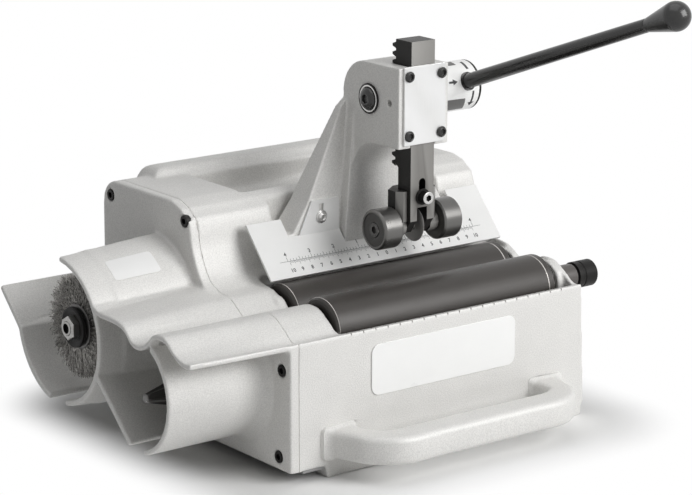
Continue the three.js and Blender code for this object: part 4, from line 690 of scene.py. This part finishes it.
plate_rings = []
for i in range(PLATE_ROWS + 1):
    x = PLATE_LOW_X + (PLATE_HIGH_X - PLATE_LOW_X) * (1 - math.cos(math.pi * i / PLATE_ROWS)) / 2
    reach = BRUSH_ROOM + GUARD_WALL + PLATE_GAP
    reach += GUARD_DRAFT * (x - GUARD_END) / (GUARD_ROOT - GUARD_END)
    corner = max(0, PLATE_CORNER - min(x - PLATE_LOW_X, PLATE_HIGH_X - x))
    trim = (PLATE_CORNER - math.sqrt(max(0, PLATE_CORNER ** 2 - corner ** 2))) / reach
    low, high = PLATE_LOW_TURN + trim, PLATE_HIGH_TURN - trim
    turns = [low + (high - low) * k / PLATE_TURNS for k in range(PLATE_TURNS + 1)]
    ring = [(reach + PLATE_THICKNESS, turn) for turn in turns] + [(reach, turn) for turn in reversed(turns)]
    plate_rings.append([(x, BRUSH_Y + r * math.cos(t), BRUSH_Z + r * math.sin(t)) for r, t in ring])
white_enamel = surface("white_enamel", WHITE_COLOUR, 0.3, grain=900, depth=0.04, mottle=0.02, coat=0.3)
placed("guard_plate", eased(swept("guard_plate", plate_rings), edge=0.12, segments=1), white_enamel)

# Front handle
# A cast bar across the front, bent back to the body at both ends, with a square section.
HANDLE_LEFT, HANDLE_RIGHT, HANDLE_REACH = -140, 111, 57.6
HANDLE_LOW, HANDLE_HIGH, HANDLE_BULK, HANDLE_EDGE = 18.3, 42.8, 28, 5.5
HANDLE_FLARE, HANDLE_ROOT, HANDLE_STEPS, HANDLE_RIM = 4.5, 7, 150, 5
HANDLE_SHARES = (
    (0.055, 0, 1.1), (0.066, 0.26, 0.86), (0.095, 0.55, 0.84), (0.175, 0.757, 1), (0.32, 0.757, 1),
    (0.68, 0.757, 1), (0.83, 0.757, 1), (0.908, 0.55, 0.84), (0.93, 0.26, 0.86), (0.938, 0, 1.1),
)

bar = catmull([
    (HANDLE_LEFT + along * (HANDLE_RIGHT - HANDLE_LEFT), BODY_FRONT - out * HANDLE_REACH, wide)
    for along, out, wide in HANDLE_SHARES
], HANDLE_STEPS)
handle_rings = []
for i, (x, y, wide) in enumerate(bar):
    low, high = bar[max(i - 1, 0)], bar[min(i + 1, HANDLE_STEPS)]
    way = np.array((high[0] - low[0], high[1] - low[1]))
    if i in (0, HANDLE_STEPS):
        way = np.array((0, -1 if i == 0 else 1))
    way = way / np.hypot(*way)
    flare = HANDLE_FLARE * max(0, 1 - (BODY_FRONT - y) / HANDLE_ROOT) ** 2
    half = wide * HANDLE_BULK / 2 - HANDLE_EDGE + flare
    rise = (HANDLE_HIGH - HANDLE_LOW) / 2 - HANDLE_EDGE + min(flare, HANDLE_FLARE / 2)
    ring = []
    for quarter, (side, level) in enumerate(((1, 1), (-1, 1), (-1, -1), (1, -1))):
        for k in range(HANDLE_RIM):
            turn = (quarter + k / (HANDLE_RIM - 1)) * math.pi / 2
            across = side * half + HANDLE_EDGE * math.cos(turn)
            up = (HANDLE_LOW + HANDLE_HIGH) / 2 + (level * rise + HANDLE_EDGE * math.sin(turn))
            ring.append((x - way[1] * across, y + way[0] * across, up))
    handle_rings.append(ring)
placed("front_handle", swept("front_handle", handle_rings), cast_aluminium, angle=40)

# Front plate
# A white enamelled aluminium plate with rounded corners, stuck to the front and left bare.
FRONT_OUTLINE = (-94, 61, 61.9, 105.8, 8)
FRONT_THICKNESS = 1.2
FACING = Matrix(((1, 0, 0), (0, 0, -1), (0, 1, 0)))


def slab(name, outline, lay, depth, edge):
    """A flat outline, given a thickness along its own Z and laid in place."""
    rings = [[lay @ Vector((u, v, w)) for u, v in outline] for w in (0, depth)]
    return eased(mesh_from(name, skinned(rings)), edge)


def rounded(left, right, low, high, corner, steps=10):
    """A rectangle's outline with round corners."""
    outline = []
    for quarter, (u, v) in enumerate(((right, high), (left, high), (left, low), (right, low))):
        u -= math.copysign(corner, u - (left + right) / 2)
        v -= math.copysign(corner, v - (low + high) / 2)
        for k in range(steps + 1):
            turn = (quarter + k / steps) * math.pi / 2
            outline.append((u + corner * math.cos(turn), v + corner * math.sin(turn)))
    return outline


front_plate = slab("front_plate", rounded(*FRONT_OUTLINE), laid(0, BODY_FRONT, 0, FACING),
                   FRONT_THICKNESS, edge=0.35)
placed("front_plate", front_plate, white_enamel)

# Cutter column
# A casting bolted into the hump: a head for the rack and pinion on a post with two raking webs. A
# large fillet runs under the head.
COLUMN_GRID, COLUMN_PASSES = 0.95, 2
HEAD_REAR, HEAD_TOP, HEAD_ROUND = 28, 320.3, 30
POST_FRONT, HEAD_BOTTOM, HEAD_FILLET = 13, 251.3, 26
ARC_BIAS, ARC_NEAR = 0.2, 0.7
HEAD_LEFT, STOP_Y, STOP_Z, STOP_RADIUS, STOP_FLARE, STOP_DEPTH = -26.5, -35.5, 289.3, 2.9, 0.8, 12


def true_column(places):
    """Sets the head's round corner and the fillet under it on their arcs."""
    for y, z, radius in (
        (HEAD_REAR - HEAD_ROUND, HEAD_TOP - HEAD_ROUND, HEAD_ROUND),
        (POST_FRONT - HEAD_FILLET, HEAD_BOTTOM - HEAD_FILLET, HEAD_FILLET),
    ):
        rows = (places[:, 1:] > (y, z)).all(axis=1)
        push_to_round(places, rows, y, z, radius, ARC_BIAS, ARC_NEAR)


column_mesh = cast("cutter_column", "cutter_column", COLUMN_GRID, COLUMN_PASSES, true_column,
                   lambda places: np.ones(len(places)))
stop_hole = turned("stop_hole", along_x(STOP_Y, STOP_Z, HEAD_LEFT), [
    (-1, 0), (-1, STOP_RADIUS + STOP_FLARE + 1), (STOP_FLARE, STOP_RADIUS), (STOP_DEPTH, STOP_RADIUS),
    (STOP_DEPTH, 0),
], edge=0.05, steps=COARSE)
placed("cutter_column", cut(column_mesh, stop_hole), cast_aluminium, angle=50)

# Head cover
# A brushed aluminium plate closes the rack's guide, held by four black button head screws.
COVER_HALF, COVER_THICKNESS, COVER_LOW, COVER_HIGH = 22, 2.5, 254.3, 321.3
HEAD_FRONT = -48.5
COVER_SCREW_X, COVER_SCREW_INSET = 17.3, 8.2
COVER_SCREW = (4.7, 2.8, 2.2, 10, 1.2)

glossy_black = surface(
    "glossy_black", (0.022, 0.0215, 0.021), 0.22, 0.25, grain=1600, depth=0.08, mottle=0.2,
    stretch=(1, 0.08, 0.08), wear_and_highlight=(0.12, 0.118, 0.115),
)
cover_outline = rounded(-COVER_HALF, COVER_HALF, COVER_LOW, COVER_HIGH, 1, 3)
head_cover = slab("head_cover", cover_outline, laid(0, HEAD_FRONT, 0, FACING), COVER_THICKNESS, edge=0.4)
placed("head_cover", head_cover, bare_aluminium)
cover_screw = turned("cover_screw", along_y(0, 0, HEAD_FRONT - COVER_THICKNESS),
                     screw_profile(*COVER_SCREW), steps=COARSE)
set_out("cover_screws", cover_screw, [
    (x, 0, z) for x in (-COVER_SCREW_X, COVER_SCREW_X)
    for z in (COVER_LOW + COVER_SCREW_INSET, COVER_HIGH - COVER_SCREW_INSET)
], glossy_black)

# Ruler plate
# A bent white enamelled sheet with two scales: whole inches over a middle line, millimetres under it.
# Its tab is held on the column's web by one bright screw in a slot.
RULER_SLOPE, RULER_Z = math.radians(48.7), 149.3
RULER_WHITE, INK = (0.84, 0.84, 0.83), (0.03, 0.03, 0.032)
SCALE_LINE, SCALE_HALF, LINE_HALF, MARK_RISE = 8.6, 110, 0.13, 0.08
INCH, INCH_PARTS, INCH_COUNT, INCH_STROKE, INCH_STROKES = 25.4, 8, 4, 0.28, (2.2, 3.2, 4.4)
CM, CM_PARTS, CM_COUNT, CM_STROKE, CM_STROKES = 10, 10, 10, 0.2, (2, 3, 4)
INCH_FIGURES_AT, CM_FIGURES_AT, FIGURE_HEIGHT, FIGURE_WEIGHT = 13.6, -1.9, 5.0, 0.1
RULER_SCREW_X, RULER_SCREW_Z, TAB_FRONT = -56, 185.5, 19.7
RULER_SCREW = (
    (-2.6, 0), (-2.6, -2.1), (-3.8, -2.1), (-3.8, 2.8), (-2.6, 4), (-1, 4), (-1, 5.6), (0, 5.6), (0, 2.2),
    (12, 2.2), (12, 0),
)

ruler_white = surface("ruler_white", RULER_WHITE, 0.33, 0.1, grain=1500, depth=0.05, mottle=0.025)
ink = surface("ruler_ink", INK, 0.5, mottle=0.2)
ruler_lay = laid(0, 0, RULER_Z, Matrix.Rotation(RULER_SLOPE, 3, "X"))


def softened(node, material, edge, body="machine"):
    """A CAD solid on its body with its sharp edges rounded."""
    placed(node, eased(solid_copy(node, node, True), edge), material, body)


def joined(name, parts, outwards=False):
    whole = bmesh.new()
    for part in parts:
        whole.from_mesh(part)
    return mesh_from(name, whole, outwards)


def figure(text, u, v):
    """A flat printed figure, the middle of its foot at a place on the sheet."""
    curve = bpy.data.curves.new("ruler_figures", "FONT")
    put(curve, body=text, size=FIGURE_HEIGHT, align_x="CENTER", extrude=MARK_RISE / 2,
        offset=FIGURE_WEIGHT, resolution_u=3)
    mesh = modified("ruler_figures", curve)
    mesh.transform(Matrix.Translation((u, v, 0)))
    return mesh


def marks_on_line(name, way, unit, parts, count, stroke, strokes):
    """Strokes up or down from the scale line, longer at each half and whole unit."""
    lay = ruler_lay @ Matrix.Translation((0, SCALE_LINE, 0)) @ Matrix.Diagonal((1, way, 1, 1))
    return tick_row(name, lay, 2 * count * parts + 1, unit / parts, stroke, 2 * MARK_RISE, strokes,
                    (parts / 2, parts), ink)


softened("ruler_plate", ruler_white, edge=0.3)
inches = marks_on_line("inch_marks", 1, INCH, INCH_PARTS, INCH_COUNT, INCH_STROKE, INCH_STROKES)
millimetres = marks_on_line("millimetre_marks", -1, CM, CM_PARTS, CM_COUNT, CM_STROKE, CM_STROKES)
line = slab("scale_line", [(u * SCALE_HALF, SCALE_LINE + v * LINE_HALF) for u, v in SQUARE],
            ruler_lay, MARK_RISE, edge=0.02)
printed = joined("ruler_figures", [
    figure(str(abs(n)), n * unit, up)
    for count, unit, up in ((INCH_COUNT, INCH, INCH_FIGURES_AT), (CM_COUNT, CM, CM_FIGURES_AT))
    for n in range(-count, count + 1)
])
printed.transform(ruler_lay)
placed("ruler_scale", joined("ruler_scale", (inches, millimetres, line, printed), True), ink)


def lathe(name, lay, profile, material, body="machine", slot=None, second=None, **form):
    """A turned piece on its body, its painted stretches in the second finish."""
    finishes = (material, second) if second else ()
    placed(name, turned(name, lay, profile, finishes=finishes, **form), material, body)


lathe("ruler_screw", along_y(RULER_SCREW_X, RULER_SCREW_Z, TAB_FRONT), RULER_SCREW, bright_steel, edge=0.25)

# Power switch and cord gland
# A black rocker switch stands in its bezel on the hidden right end, and a black cord gland at the
# rear. Both are moulded plastic.
BLACK_MOULDING, GREY_MOULDING = (0.02, 0.02, 0.021), (0.06, 0.06, 0.064)
GLAND_X, GLAND_Z, BODY_REAR = -120, 45, 180
GLAND = (
    (-15, 4), (-15, 8.5), (0, 8.5), (0, 11), (4, 11), (5, 10.6), (7.5, 9.4), (7.5, 8.9), (8.2, 8.9),
    (8.2, 9.3), (9.8, 8.9), (9.8, 8.4), (10.4, 8.4), (10.4, 8.7), (12, 8.3), (12, 4),
)

black_plastic = surface("black_plastic", BLACK_MOULDING, 0.4, grain=2600, depth=0.25, mottle=0.1)
grey_plastic = surface("grey_plastic", GREY_MOULDING, 0.35, grain=2600, depth=0.2, mottle=0.1)
softened("switch_bezel", black_plastic, edge=0.7)
softened("switch_rocker", grey_plastic, edge=0.6, body="switch_rocker")
lathe("cord_gland", along_y(GLAND_X, GLAND_Z, BODY_REAR), GLAND, black_plastic, edge=0.25)

# Rollers
# Two hard steel rollers, bead blasted to a dark satin. A thin bright ring near each end, on a chamfer at
# the left and in a turned groove at the right, is a painted highlight. The front one runs on through the
# right wall to a blackened collar.
ROLLER_COLOUR, CHAMFER_HIGHLIGHT_COLOUR = (0.034, 0.03, 0.0265), (0.5, 0.48, 0.46)
ROLLER_Z, FRONT_ROLLER_Y, NECK_LEFT, NECK, SEAT = 115.8, -62.5, -132, 8, 6
HIGHLIGHT_STRETCHES = (6, 8, 9, 10)
BARREL = (
    (-119, 8), (-119, 24), (-117.35, 25.65), (-117, 26), (110, 26), (110.35, 25.65), (110.65, 25.65),
    (111, 26), (116, 26), (118, 24), (118, 8),
)
FRONT_LEFT, FRONT_TAIL = -150.5, ((141.3, 8), (141.3, 11), (157.3, 11), (157.3, 6), (176.4, 6), (176.4, 0))
REAR_LEFT, REAR_TAIL = -141.5, ((134.1, 8), (134.1, 0))
COLLAR = (
    (159.3, 6.3), (159.3, 12), (165, 12), (165.4, 11.4), (166.6, 11.4), (167, 12), (179.4, 12), (180.4, 11),
    (180.4, 6.3),
)

roller_black = surface(
    "roller_black", ROLLER_COLOUR, 0.36, 0.1, grain=2600, depth=0.35, mottle=0.16, wear_and_highlight=(0.3, 0.28, 0.27),
    shine=0.4,
)
# The painted stretches on the left chamfer and the right groove take this bright colour as a painted
# highlight
turned_line = surface("turned_line", CHAMFER_HIGHLIGHT_COLOUR, 0.3, 0.8, stretch=(1, 0.05, 0.05))
for name, y, left, tail in (
    ("front_roller", FRONT_ROLLER_Y, FRONT_LEFT, FRONT_TAIL),
    ("rear_roller", REAR_ROLLER_Y, REAR_LEFT, REAR_TAIL),
):
    profile = [(left, 0), (left, SEAT), (NECK_LEFT, SEAT), (NECK_LEFT, NECK), *BARREL, *tail]
    lathe(name, along_x(y, ROLLER_Z), profile, roller_black, name, second=turned_line, edge=0.15,
          painted=HIGHLIGHT_STRETCHES)
lathe("brush_collar", along_x(FRONT_ROLLER_Y, ROLLER_Z), COLLAR, black_steel, "front_roller")

# Wire brush
# Crimped spring steel wires stand out from a steel core, clamped by a dished flange and a bright
# hexagon nut on the spindle, whose end is centre drilled.
STRANDS, STEPS, WIRE, FULL_TURN, BRUSH_MIDDLE = 1900, 14, 0.27, 6.2832, -249
WIRE_COLOUR, NUT_COLOUR, DARK_COLOUR = (0.3, 0.29, 0.275), (0.3, 0.295, 0.285), (0.06, 0.058, 0.056)
CORE = ((-255.7, 6.3), (-255.7, 14), (-254, 19), (-244, 19), (-242.3, 14), (-242.3, 6.3))
FLANGE = (
    (-258.3, 6.3), (-258.3, 11), (-259.2, 13.2), (-260, 15.8), (-259.6, 17.1), (-258.9, 17.5), (-256.3, 17.5),
    (-256.3, 6.3),
)
NUT = ((-265, 6.3), (-265, 8.6), (-264.1, -9.25), (-258.3, -9.25), (-258.3, 6.3))
SPINDLE_PROFILE = (
    (-261, 0), (-262.5, 4.2), (-266, 4.4), (-266, 5.2), (-265.2, 6), (-241.7, 6), (-241.7, 17.5),
    (-239.7, 17.5), (-239.7, 8), (-157.5, 8), (-157.5, 21.4), (-156.8, 21.4), (-156.8, 20), (-151.2, 20),
    (-151.2, 21.4), (-150.5, 21.4), (-150.5, 0),
)

brush_tree, given = shape_tree(
    "bristles", Int="Strands Steps Seed", Float="Inner Outer Root Tip Crimp Wire", Material="Material",
)
node, value = partial(add, brush_tree), partial(calc, brush_tree)
total = value("MULTIPLY", given["Strands"], given["Steps"])
index = node("GeometryNodeInputIndex")
strand = value("FLOOR", value("DIVIDE", value("ADD", index, 0.5), given["Steps"]))
along = value("SUBTRACT", index, value("MULTIPLY", strand, given["Steps"]))
along = value("DIVIDE", along, value("SUBTRACT", given["Steps"], 1))


def chance(low, high, offset):
    """A random number for each strand."""
    seed = value("ADD", given["Seed"], offset)
    return node("FunctionNodeRandomValue", {2: low, 3: high, "ID": strand, "Seed": seed}).outputs[1]


def between(low, high):
    return value("MULTIPLY_ADD", along, value("SUBTRACT", high, low), low)


crimp_turn = value("MULTIPLY_ADD", along, chance(15, 27, 4), chance(0, 6.28, 3))
swing = value("MULTIPLY", given["Crimp"], value("ADD", along, 0.25))
reach = between(given["Inner"], value("SUBTRACT", given["Outer"], chance(0, 3.4, 1)))
aside = value("MULTIPLY", value("SINE", crimp_turn), swing)
aside = value("MULTIPLY_ADD", value("MULTIPLY", along, along), chance(-3, 3, 6), aside)
turn = value("ADD", chance(0, FULL_TURN, 0), value("DIVIDE", aside, reach))
level = value("MULTIPLY", between(given["Root"], given["Tip"]), chance(-1, 1, 2))
level = value("MULTIPLY_ADD", value("COSINE", crimp_turn), swing, level)
spot = node("ShaderNodeCombineXYZ", {
    0: value("MULTIPLY", value("COSINE", turn), reach),
    1: value("MULTIPLY", value("SINE", turn), reach),
    2: level,
})
dots = node("GeometryNodePoints", {"Count": total, "Position": spot})
wires = node("GeometryNodePointsToCurves", {0: dots, "Curve Group ID": strand, "Weight": along})


def tube_tree(tree, curve, wire, sides, material):
    """Ends a shape tree: a round wire along its curves."""
    ring = add(tree, "GeometryNodeCurvePrimitiveCircle", {"Resolution": sides, "Radius": wire})
    tube = add(tree, "GeometryNodeCurveToMesh", {"Curve": curve, "Profile Curve": ring, "Fill Caps": True})
    closed_tree(tree, tube, material)


tube_tree(brush_tree, wires, given["Wire"], 3, given["Material"])
# This finish's strong mottle is painted light: bright specks stand for glints on the brush wires and dark
# ones for shade between them
spring_steel = surface(
    "spring_steel", WIRE_COLOUR, 0.3, 0.8, grain=900, depth=0.1, mottle=0.95, cloud=420, fleck=0.35,
)
dark_steel = surface(
    "dark_steel", DARK_COLOUR, 0.36, 0.5, grain=1600, depth=0.2, mottle=0.15, stretch=(1, 0.06, 0.06),
    wear_and_highlight=(0.4, 0.39, 0.38),
)
nut_steel = surface("nut_steel", NUT_COLOUR, 0.3, 0.85, grain=1600, mottle=0.2, wear_and_highlight=(0.6, 0.59, 0.58))
bristles = grown("wire_brush", brush_tree, along_x(BRUSH_Y, BRUSH_Z, BRUSH_MIDDLE),
                 Strands=STRANDS, Steps=STEPS, Inner=12, Outer=45, Root=4.2, Tip=6.8, Crimp=0.95,
                 Wire=WIRE, Seed=7, Material=spring_steel)
placed("brush_wires", bristles, spring_steel, "brush_spindle", nodes=["wire_brush"], angle=180)
brush_lay = along_x(BRUSH_Y, BRUSH_Z)
lathe("brush_core", brush_lay, CORE, dark_steel, "brush_spindle", "black_steel")
lathe("brush_flange", brush_lay, FLANGE, black_steel, "brush_spindle", "bright_steel", edge=0.2)
lathe("brush_nut", brush_lay, NUT, nut_steel, "brush_spindle", "bright_steel", edge=0.2)
lathe("brush_spindle", brush_lay, SPINDLE_PROFILE, nut_steel, "brush_spindle", "bright_steel",
      second=black_steel, edge=0.2, painted=(0, 1))

# Reamer
# A blackened steel cone with six ground flutes, their cutting lands bright, on its own spindle.
CONE_TIP, CONE_BACK, CONE_COLLAR, TIP_BEVEL = -263, -187, 4, 1.2
TIP_RADIUS, CONE_RADIUS, FLUTE_DEPTH, BLADES = 4, 23.5, 0.36, 6
LAND_SHARE, FLUTE_BEND, FLUTE_POINTS, CONE_SECTIONS = 0.15, 1.25, 14, 26

reamer_steel = surface(
    "reamer_steel", (0.05, 0.048, 0.046), 0.34, 0.5, grain=1500, depth=0.2, mottle=0.2,
    wear_and_highlight=(0.45, 0.44, 0.43),
)


def cone_ring(x, radius, depth):
    ring = []
    for i in range(BLADES * FLUTE_POINTS):
        phase = (i % FLUTE_POINTS) / FLUTE_POINTS
        hollow = max(0, (phase - LAND_SHARE) / (1 - LAND_SHARE)) ** FLUTE_BEND
        reach = radius * (1 - depth * math.sin(math.pi * hollow))
        turn = 2 * math.pi * i / (BLADES * FLUTE_POINTS)
        ring.append((x, REAMER_Y + reach * math.cos(turn), REAMER_Z + reach * math.sin(turn)))
    return ring


cone = [(CONE_TIP, TIP_RADIUS - TIP_BEVEL, 0), (CONE_TIP + TIP_BEVEL, TIP_RADIUS, 0.05)]
for i in range(1, CONE_SECTIONS + 1):
    share = i / CONE_SECTIONS
    x = CONE_TIP + TIP_BEVEL + share * (CONE_BACK - CONE_TIP - TIP_BEVEL)
    cone.append((x, TIP_RADIUS + share * (CONE_RADIUS - TIP_RADIUS), FLUTE_DEPTH * min(1, 0.3 + share)))
cone += [(CONE_BACK + 0.2, CONE_RADIUS, 0), (CONE_BACK + CONE_COLLAR - 1, CONE_RADIUS, 0),
         (CONE_BACK + CONE_COLLAR, CONE_RADIUS - 1, 0)]
placed("reamer_cone", swept("reamer_cone", [cone_ring(*section) for section in cone]), reamer_steel,
       "reamer_spindle", angle=25)
shown(bright_steel, "reamer_spindle")

# Pinion shaft
# A steel shaft with a cut pinion runs through the head. On its left end a black washer with a bright
# rim sits under a button head screw.
PINION_Y, PINION_Z, WASHER_FACE = -8.702, 289.3, -28
WASHER = (
    (-28, 0), (-28, 10.2), (-28.2, 10.5), (-28.2, 11.3), (-28, 11.6), (-28, 13), (-26.8, 13), (-26.8, 0),
)
BUTTON = (
    (-1.4, 0), (-1.4, -3.6), (-3.4, -3.6), (-3.4, 5), (-3.0, 6.8), (-2.1, 8.5), (-0.9, 9.4), (0, 9.5), (0, 0),
)

shown(dark_steel, "pinion_shaft")
pinion_lay = along_x(PINION_Y, PINION_Z)
lathe("pinion_washer", pinion_lay, WASHER, black_steel, "pinion", second=bright_steel, edge=0.1,
      painted=(1, 2, 3))
lathe("pinion_screw", along_x(PINION_Y, PINION_Z, WASHER_FACE), BUTTON, glossy_black, "pinion",
      "black_steel", edge=0.2)

# Feed handle
# A white enamelled hub slides on a steel bush over the pinion shaft, with a blackened right rim. Its
# blackened lever rises towards the front, to a black knob shaped like a pear.
HUB_RADIUS, LEVER_X, LEVER_RISE = 21.5, 65, math.radians(19.86)
KNOB_AT, KNOB_RADIUS, KNOB_STEPS = 287.6, 12.2, 24
HUB = (
    (27, 13.3), (27, 20.3), (28.2, 21.5), (76.6, 21.5), (78.8, 21.5), (80, 20.3), (80, 0), (73, 0),
    (73, 13.3),
)
ROD = (
    (13.6, 0), (13.6, 6.5), (18.5, 6.5), (18.5, 8.1), (21.8, 8.1), (21.8, 6.5), (27.5, 6.5),
    (252.6, 5.75), (254.6, 5.3), (254.6, 3.5), (269.6, 3.5), (269.6, 0),
)
KNOB_FOOT = ((269.9, 0), (269.9, 3.8), (254.9, 3.8), (254.9, 5.4), (255.8, 6))
KNOB_COLOUR, HUB_GREY = (0.02, 0.0195, 0.019), (0.12, 0.118, 0.115)

knob_black = surface("knob_black", KNOB_COLOUR, 0.24, grain=900, depth=0.06, mottle=0.15)
shown(bright_steel, "hub_bush")
lathe("handle_hub", pinion_lay, HUB, white_enamel, "feed_handle", second=black_steel,
      painted=(3, 4, 5))

# Plain arrows, a bar and two grey blocks printed on the hub: millimetres along it, degrees round it
HUB_MARKS = (
    (((44, 155.5), (44, 160.5), (48.5, 160.5), (48.5, 165), (53.5, 158), (48.5, 151), (48.5, 155.5)), 0),
    (((69, 184), (71, 184), (71, 213), (73.2, 213), (70, 225), (66.8, 213), (69, 213)), 0),
    (((68, 102), (70.5, 102), (70.5, 130), (68, 130)), 0),
    (((30, 198), (62, 200), (65, 236), (30, 236)), 1),
    (((53, 92), (61, 92), (61, 112), (53, 112)), 1),
)
MARK_LOWEST, MARK_HIGHEST, MARK_STEP, MARK_GAP = 88, 240, 4, 0.03
hub_grey = surface("hub_grey", HUB_GREY, 0.4, mottle=0.15)


def wrapped(outline, finish):
    """A thin printed mark wrapped round the hub's skin."""
    part = skinned([[(x, turn, rise) for x, turn in outline] for rise in (0, MARK_RISE)])
    for turn in range(MARK_LOWEST, MARK_HIGHEST, MARK_STEP):
        pieces = part.verts[:] + part.edges[:] + part.faces[:]
        bmesh.ops.bisect_plane(part, geom=pieces, plane_co=(0, turn, 0), plane_no=(0, 1, 0))
    for corner in part.verts:
        reach = HUB_RADIUS + MARK_GAP + corner.co.z
        turn = math.radians(corner.co.y)
        corner.co = at(corner.co.x, PINION_Y + reach * math.cos(turn), PINION_Z + reach * math.sin(turn))
    for face in part.faces:
        face.material_index = finish
    return mesh_from("hub_marks", part)


hub_marks = joined("hub_marks", [wrapped(*mark) for mark in HUB_MARKS])
for finish in (ink, hub_grey):
    hub_marks.materials.append(finish)
placed("hub_marks", hub_marks, ink, "feed_handle", angle=30)
rake = Vector((0, -math.cos(LEVER_RISE), math.sin(LEVER_RISE))).to_track_quat("Z", "X").to_matrix()
lever_lay = laid(LEVER_X, PINION_Y, PINION_Z, rake)
lathe("handle_rod", lever_lay, ROD, glossy_black, "feed_handle", "black_steel")
foot, narrow = KNOB_FOOT[-1]
neck = math.pi / 2 + math.asin((KNOB_RADIUS - narrow) / (KNOB_AT - foot))
ball = [neck * (1 - k / KNOB_STEPS) for k in range(KNOB_STEPS)]
lathe("handle_knob", lever_lay, (
    *KNOB_FOOT,
    *((KNOB_AT + KNOB_RADIUS * math.cos(turn), KNOB_RADIUS * math.sin(turn)) for turn in ball),
    (KNOB_AT + KNOB_RADIUS, 0),
), knob_black, "feed_handle", "black_plastic", edge=0.25)

# Rack
# A steel bar with cut teeth at the back and two legs at the foot for the cutter wheel. Its front is
# ground to a satin grey and the rest is blackened.
SATIN_COLOUR = (0.12, 0.115, 0.108)

ground_steel = surface(
    "ground_steel", SATIN_COLOUR, 0.42, 0.6, grain=1500, depth=0.1, mottle=0.07, stretch=(1, 1, 0.04),
    wear_and_highlight=(0.5, 0.49, 0.47),
)


def two_finishes(node, front, edge, lean):
    """A softened black solid with its own finish on faces that look forwards beyond the lean."""
    mesh = eased(solid_copy(node, node, True), edge)
    mesh.materials.clear()
    for finish in (black_steel, front):
        mesh.materials.append(finish)
    for face in mesh.polygons:
        face.material_index = int(face.normal.y < -lean)
    placed(node, mesh, black_steel, node)


two_finishes("rack", ground_steel, edge=0.5, lean=0.9)
shown(bright_steel, "cutter_pin")

# Cutter wheel
# A hardened steel disc with a sharp rim and a bright hub, on a pin between the rack's legs.
WHEEL_Y, WHEEL_Z, WHEEL_COLOUR = -35, 182.3, (0.3, 0.293, 0.283)
CUTTER_HALF = ((-5, 2.5), (-5, 5.2), (-1.6, 5.5), (-1.6, 12.55), (-0.1, 15.75))

wheel_steel = surface(
    "wheel_steel", WHEEL_COLOUR, 0.4, 0.4, grain=1700, depth=0.35, mottle=0.25, wear_and_highlight=(0.5, 0.49, 0.48),
)
wheel_lay = along_x(WHEEL_Y, WHEEL_Z)
cutter = [*CUTTER_HALF, *((-x, radius) for x, radius in reversed(CUTTER_HALF))]
lathe("cutter_wheel", wheel_lay, cutter, wheel_steel, "cutter_wheel", "bright_steel",
      second=bright_steel, edge=0.12, painted=(0, 1, 7, 8))

# Sprung carriage
# A blackened steel block astride the rack, its front faces milled upright. A socket screw through
# the slot holds it, and the coil spring behind the slot pushes it down. The spring is made at one
# length and rides with the carriage.
CARRIAGE_COLOUR = (0.085, 0.082, 0.078)
SPRING_Y, SPRING_LOW, SPRING_HIGH = -39, 211.95, 246.25
SPRING_COIL, SPRING_WIRE, SPRING_TURNS, SPRING_POINTS, SPRING_SIDES = 2.5, 0.55, 9, 24, 10
CARRIAGE_TRAVEL, CLAMP_Z = 8, 207.9
CLAMP = (
    (-54.4, 0), (-54.4, -2.5), (-57, -2.5), (-57, 5), (-56.5, 5.5), (-49.5, 5.5), (-49.5, 7), (-48.1, 7),
    (-48.1, 3.2), (-19, 3.2), (-19, 0),
)

carriage_grey = surface(
    "carriage_grey", CARRIAGE_COLOUR, 0.4, 0.3, grain=1300, depth=0.35, mottle=0.16,
    stretch=(1, 1, 0.03), wear_and_highlight=(0.45, 0.44, 0.42),
)
two_finishes("carriage", carriage_grey, edge=0.6, lean=0.4)
lathe("carriage_screw", along_y(0, CLAMP_Z), CLAMP, black_steel, "carriage", second=bright_steel,
      edge=0.2, painted=(2, 3))

spring_tree, given = shape_tree("coil_spring", Float="Turns Coil Height Wire", Material="Material")
coil = add(spring_tree, "GeometryNodeCurveSpiral", {
    "Resolution": SPRING_POINTS, "Rotations": given["Turns"], "Start Radius": given["Coil"],
    "End Radius": given["Coil"], "Height": given["Height"],
})
tube_tree(spring_tree, coil, given["Wire"], SPRING_SIDES, given["Material"])
spring = grown("carriage_spring", spring_tree, laid(0, SPRING_Y, SPRING_LOW), Turns=SPRING_TURNS,
               Coil=SPRING_COIL, Height=SPRING_HIGH - SPRING_LOW, Wire=SPRING_WIRE, Material=spring_steel)
coil_piece = placed("carriage_spring", spring, spring_steel, "carriage", angle=60)
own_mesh(coil_piece)

# Guide rollers
# Two broad steel wheels carry the tube beside the cutter: dark pitted faces with a turned rim, a
# bright band round each, and a socket screw sunk in the middle.
FACE_COLOUR, BAND_COLOUR = (0.045, 0.043, 0.04), (0.13, 0.127, 0.122)
GUIDE_WHEEL = (
    (22.4, 4.3), (22.4, 16), (23.9, 17.5), (40.5, 17.5), (42, 16), (42, 14.6), (41.1, 14.2), (41.1, 6.5),
    (38, 6.5), (38, 4.3),
)
GUIDE_SCREW = (
    (13.1, 0), (13.1, 4), (38.3, 4), (38.3, 6.2), (41.4, 6.2), (41.7, 5.9), (41.7, -2.9), (39.5, -2.9),
    (39.5, 0),
)

guide_face = surface(
    "guide_face", FACE_COLOUR, 0.42, 0.25, grain=1500, depth=0.5, mottle=0.25, wear_and_highlight=(0.4, 0.39, 0.37),
)
guide_band = surface(
    "guide_band", BAND_COLOUR, 0.3, 0.75, grain=1700, depth=0.05, stretch=(1, 0.03, 0.03),
    wear_and_highlight=(0.45, 0.45, 0.44),
)
for side, way in (("left", -1), ("right", 1)):
    wheel, screw = ([(way * x, radius) for x, radius in half] for half in (GUIDE_WHEEL, GUIDE_SCREW))
    lathe(f"guide_roller_{side}", wheel_lay, wheel, guide_face, f"guide_roller_{side}", "black_steel",
          second=guide_band, edge=0.2, painted=(1, 2, 3, 4))
    lathe(f"guide_screw_{side}", wheel_lay, screw, dark_steel, "carriage", "bright_steel", edge=0.15,
          steps=48)

low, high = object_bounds()
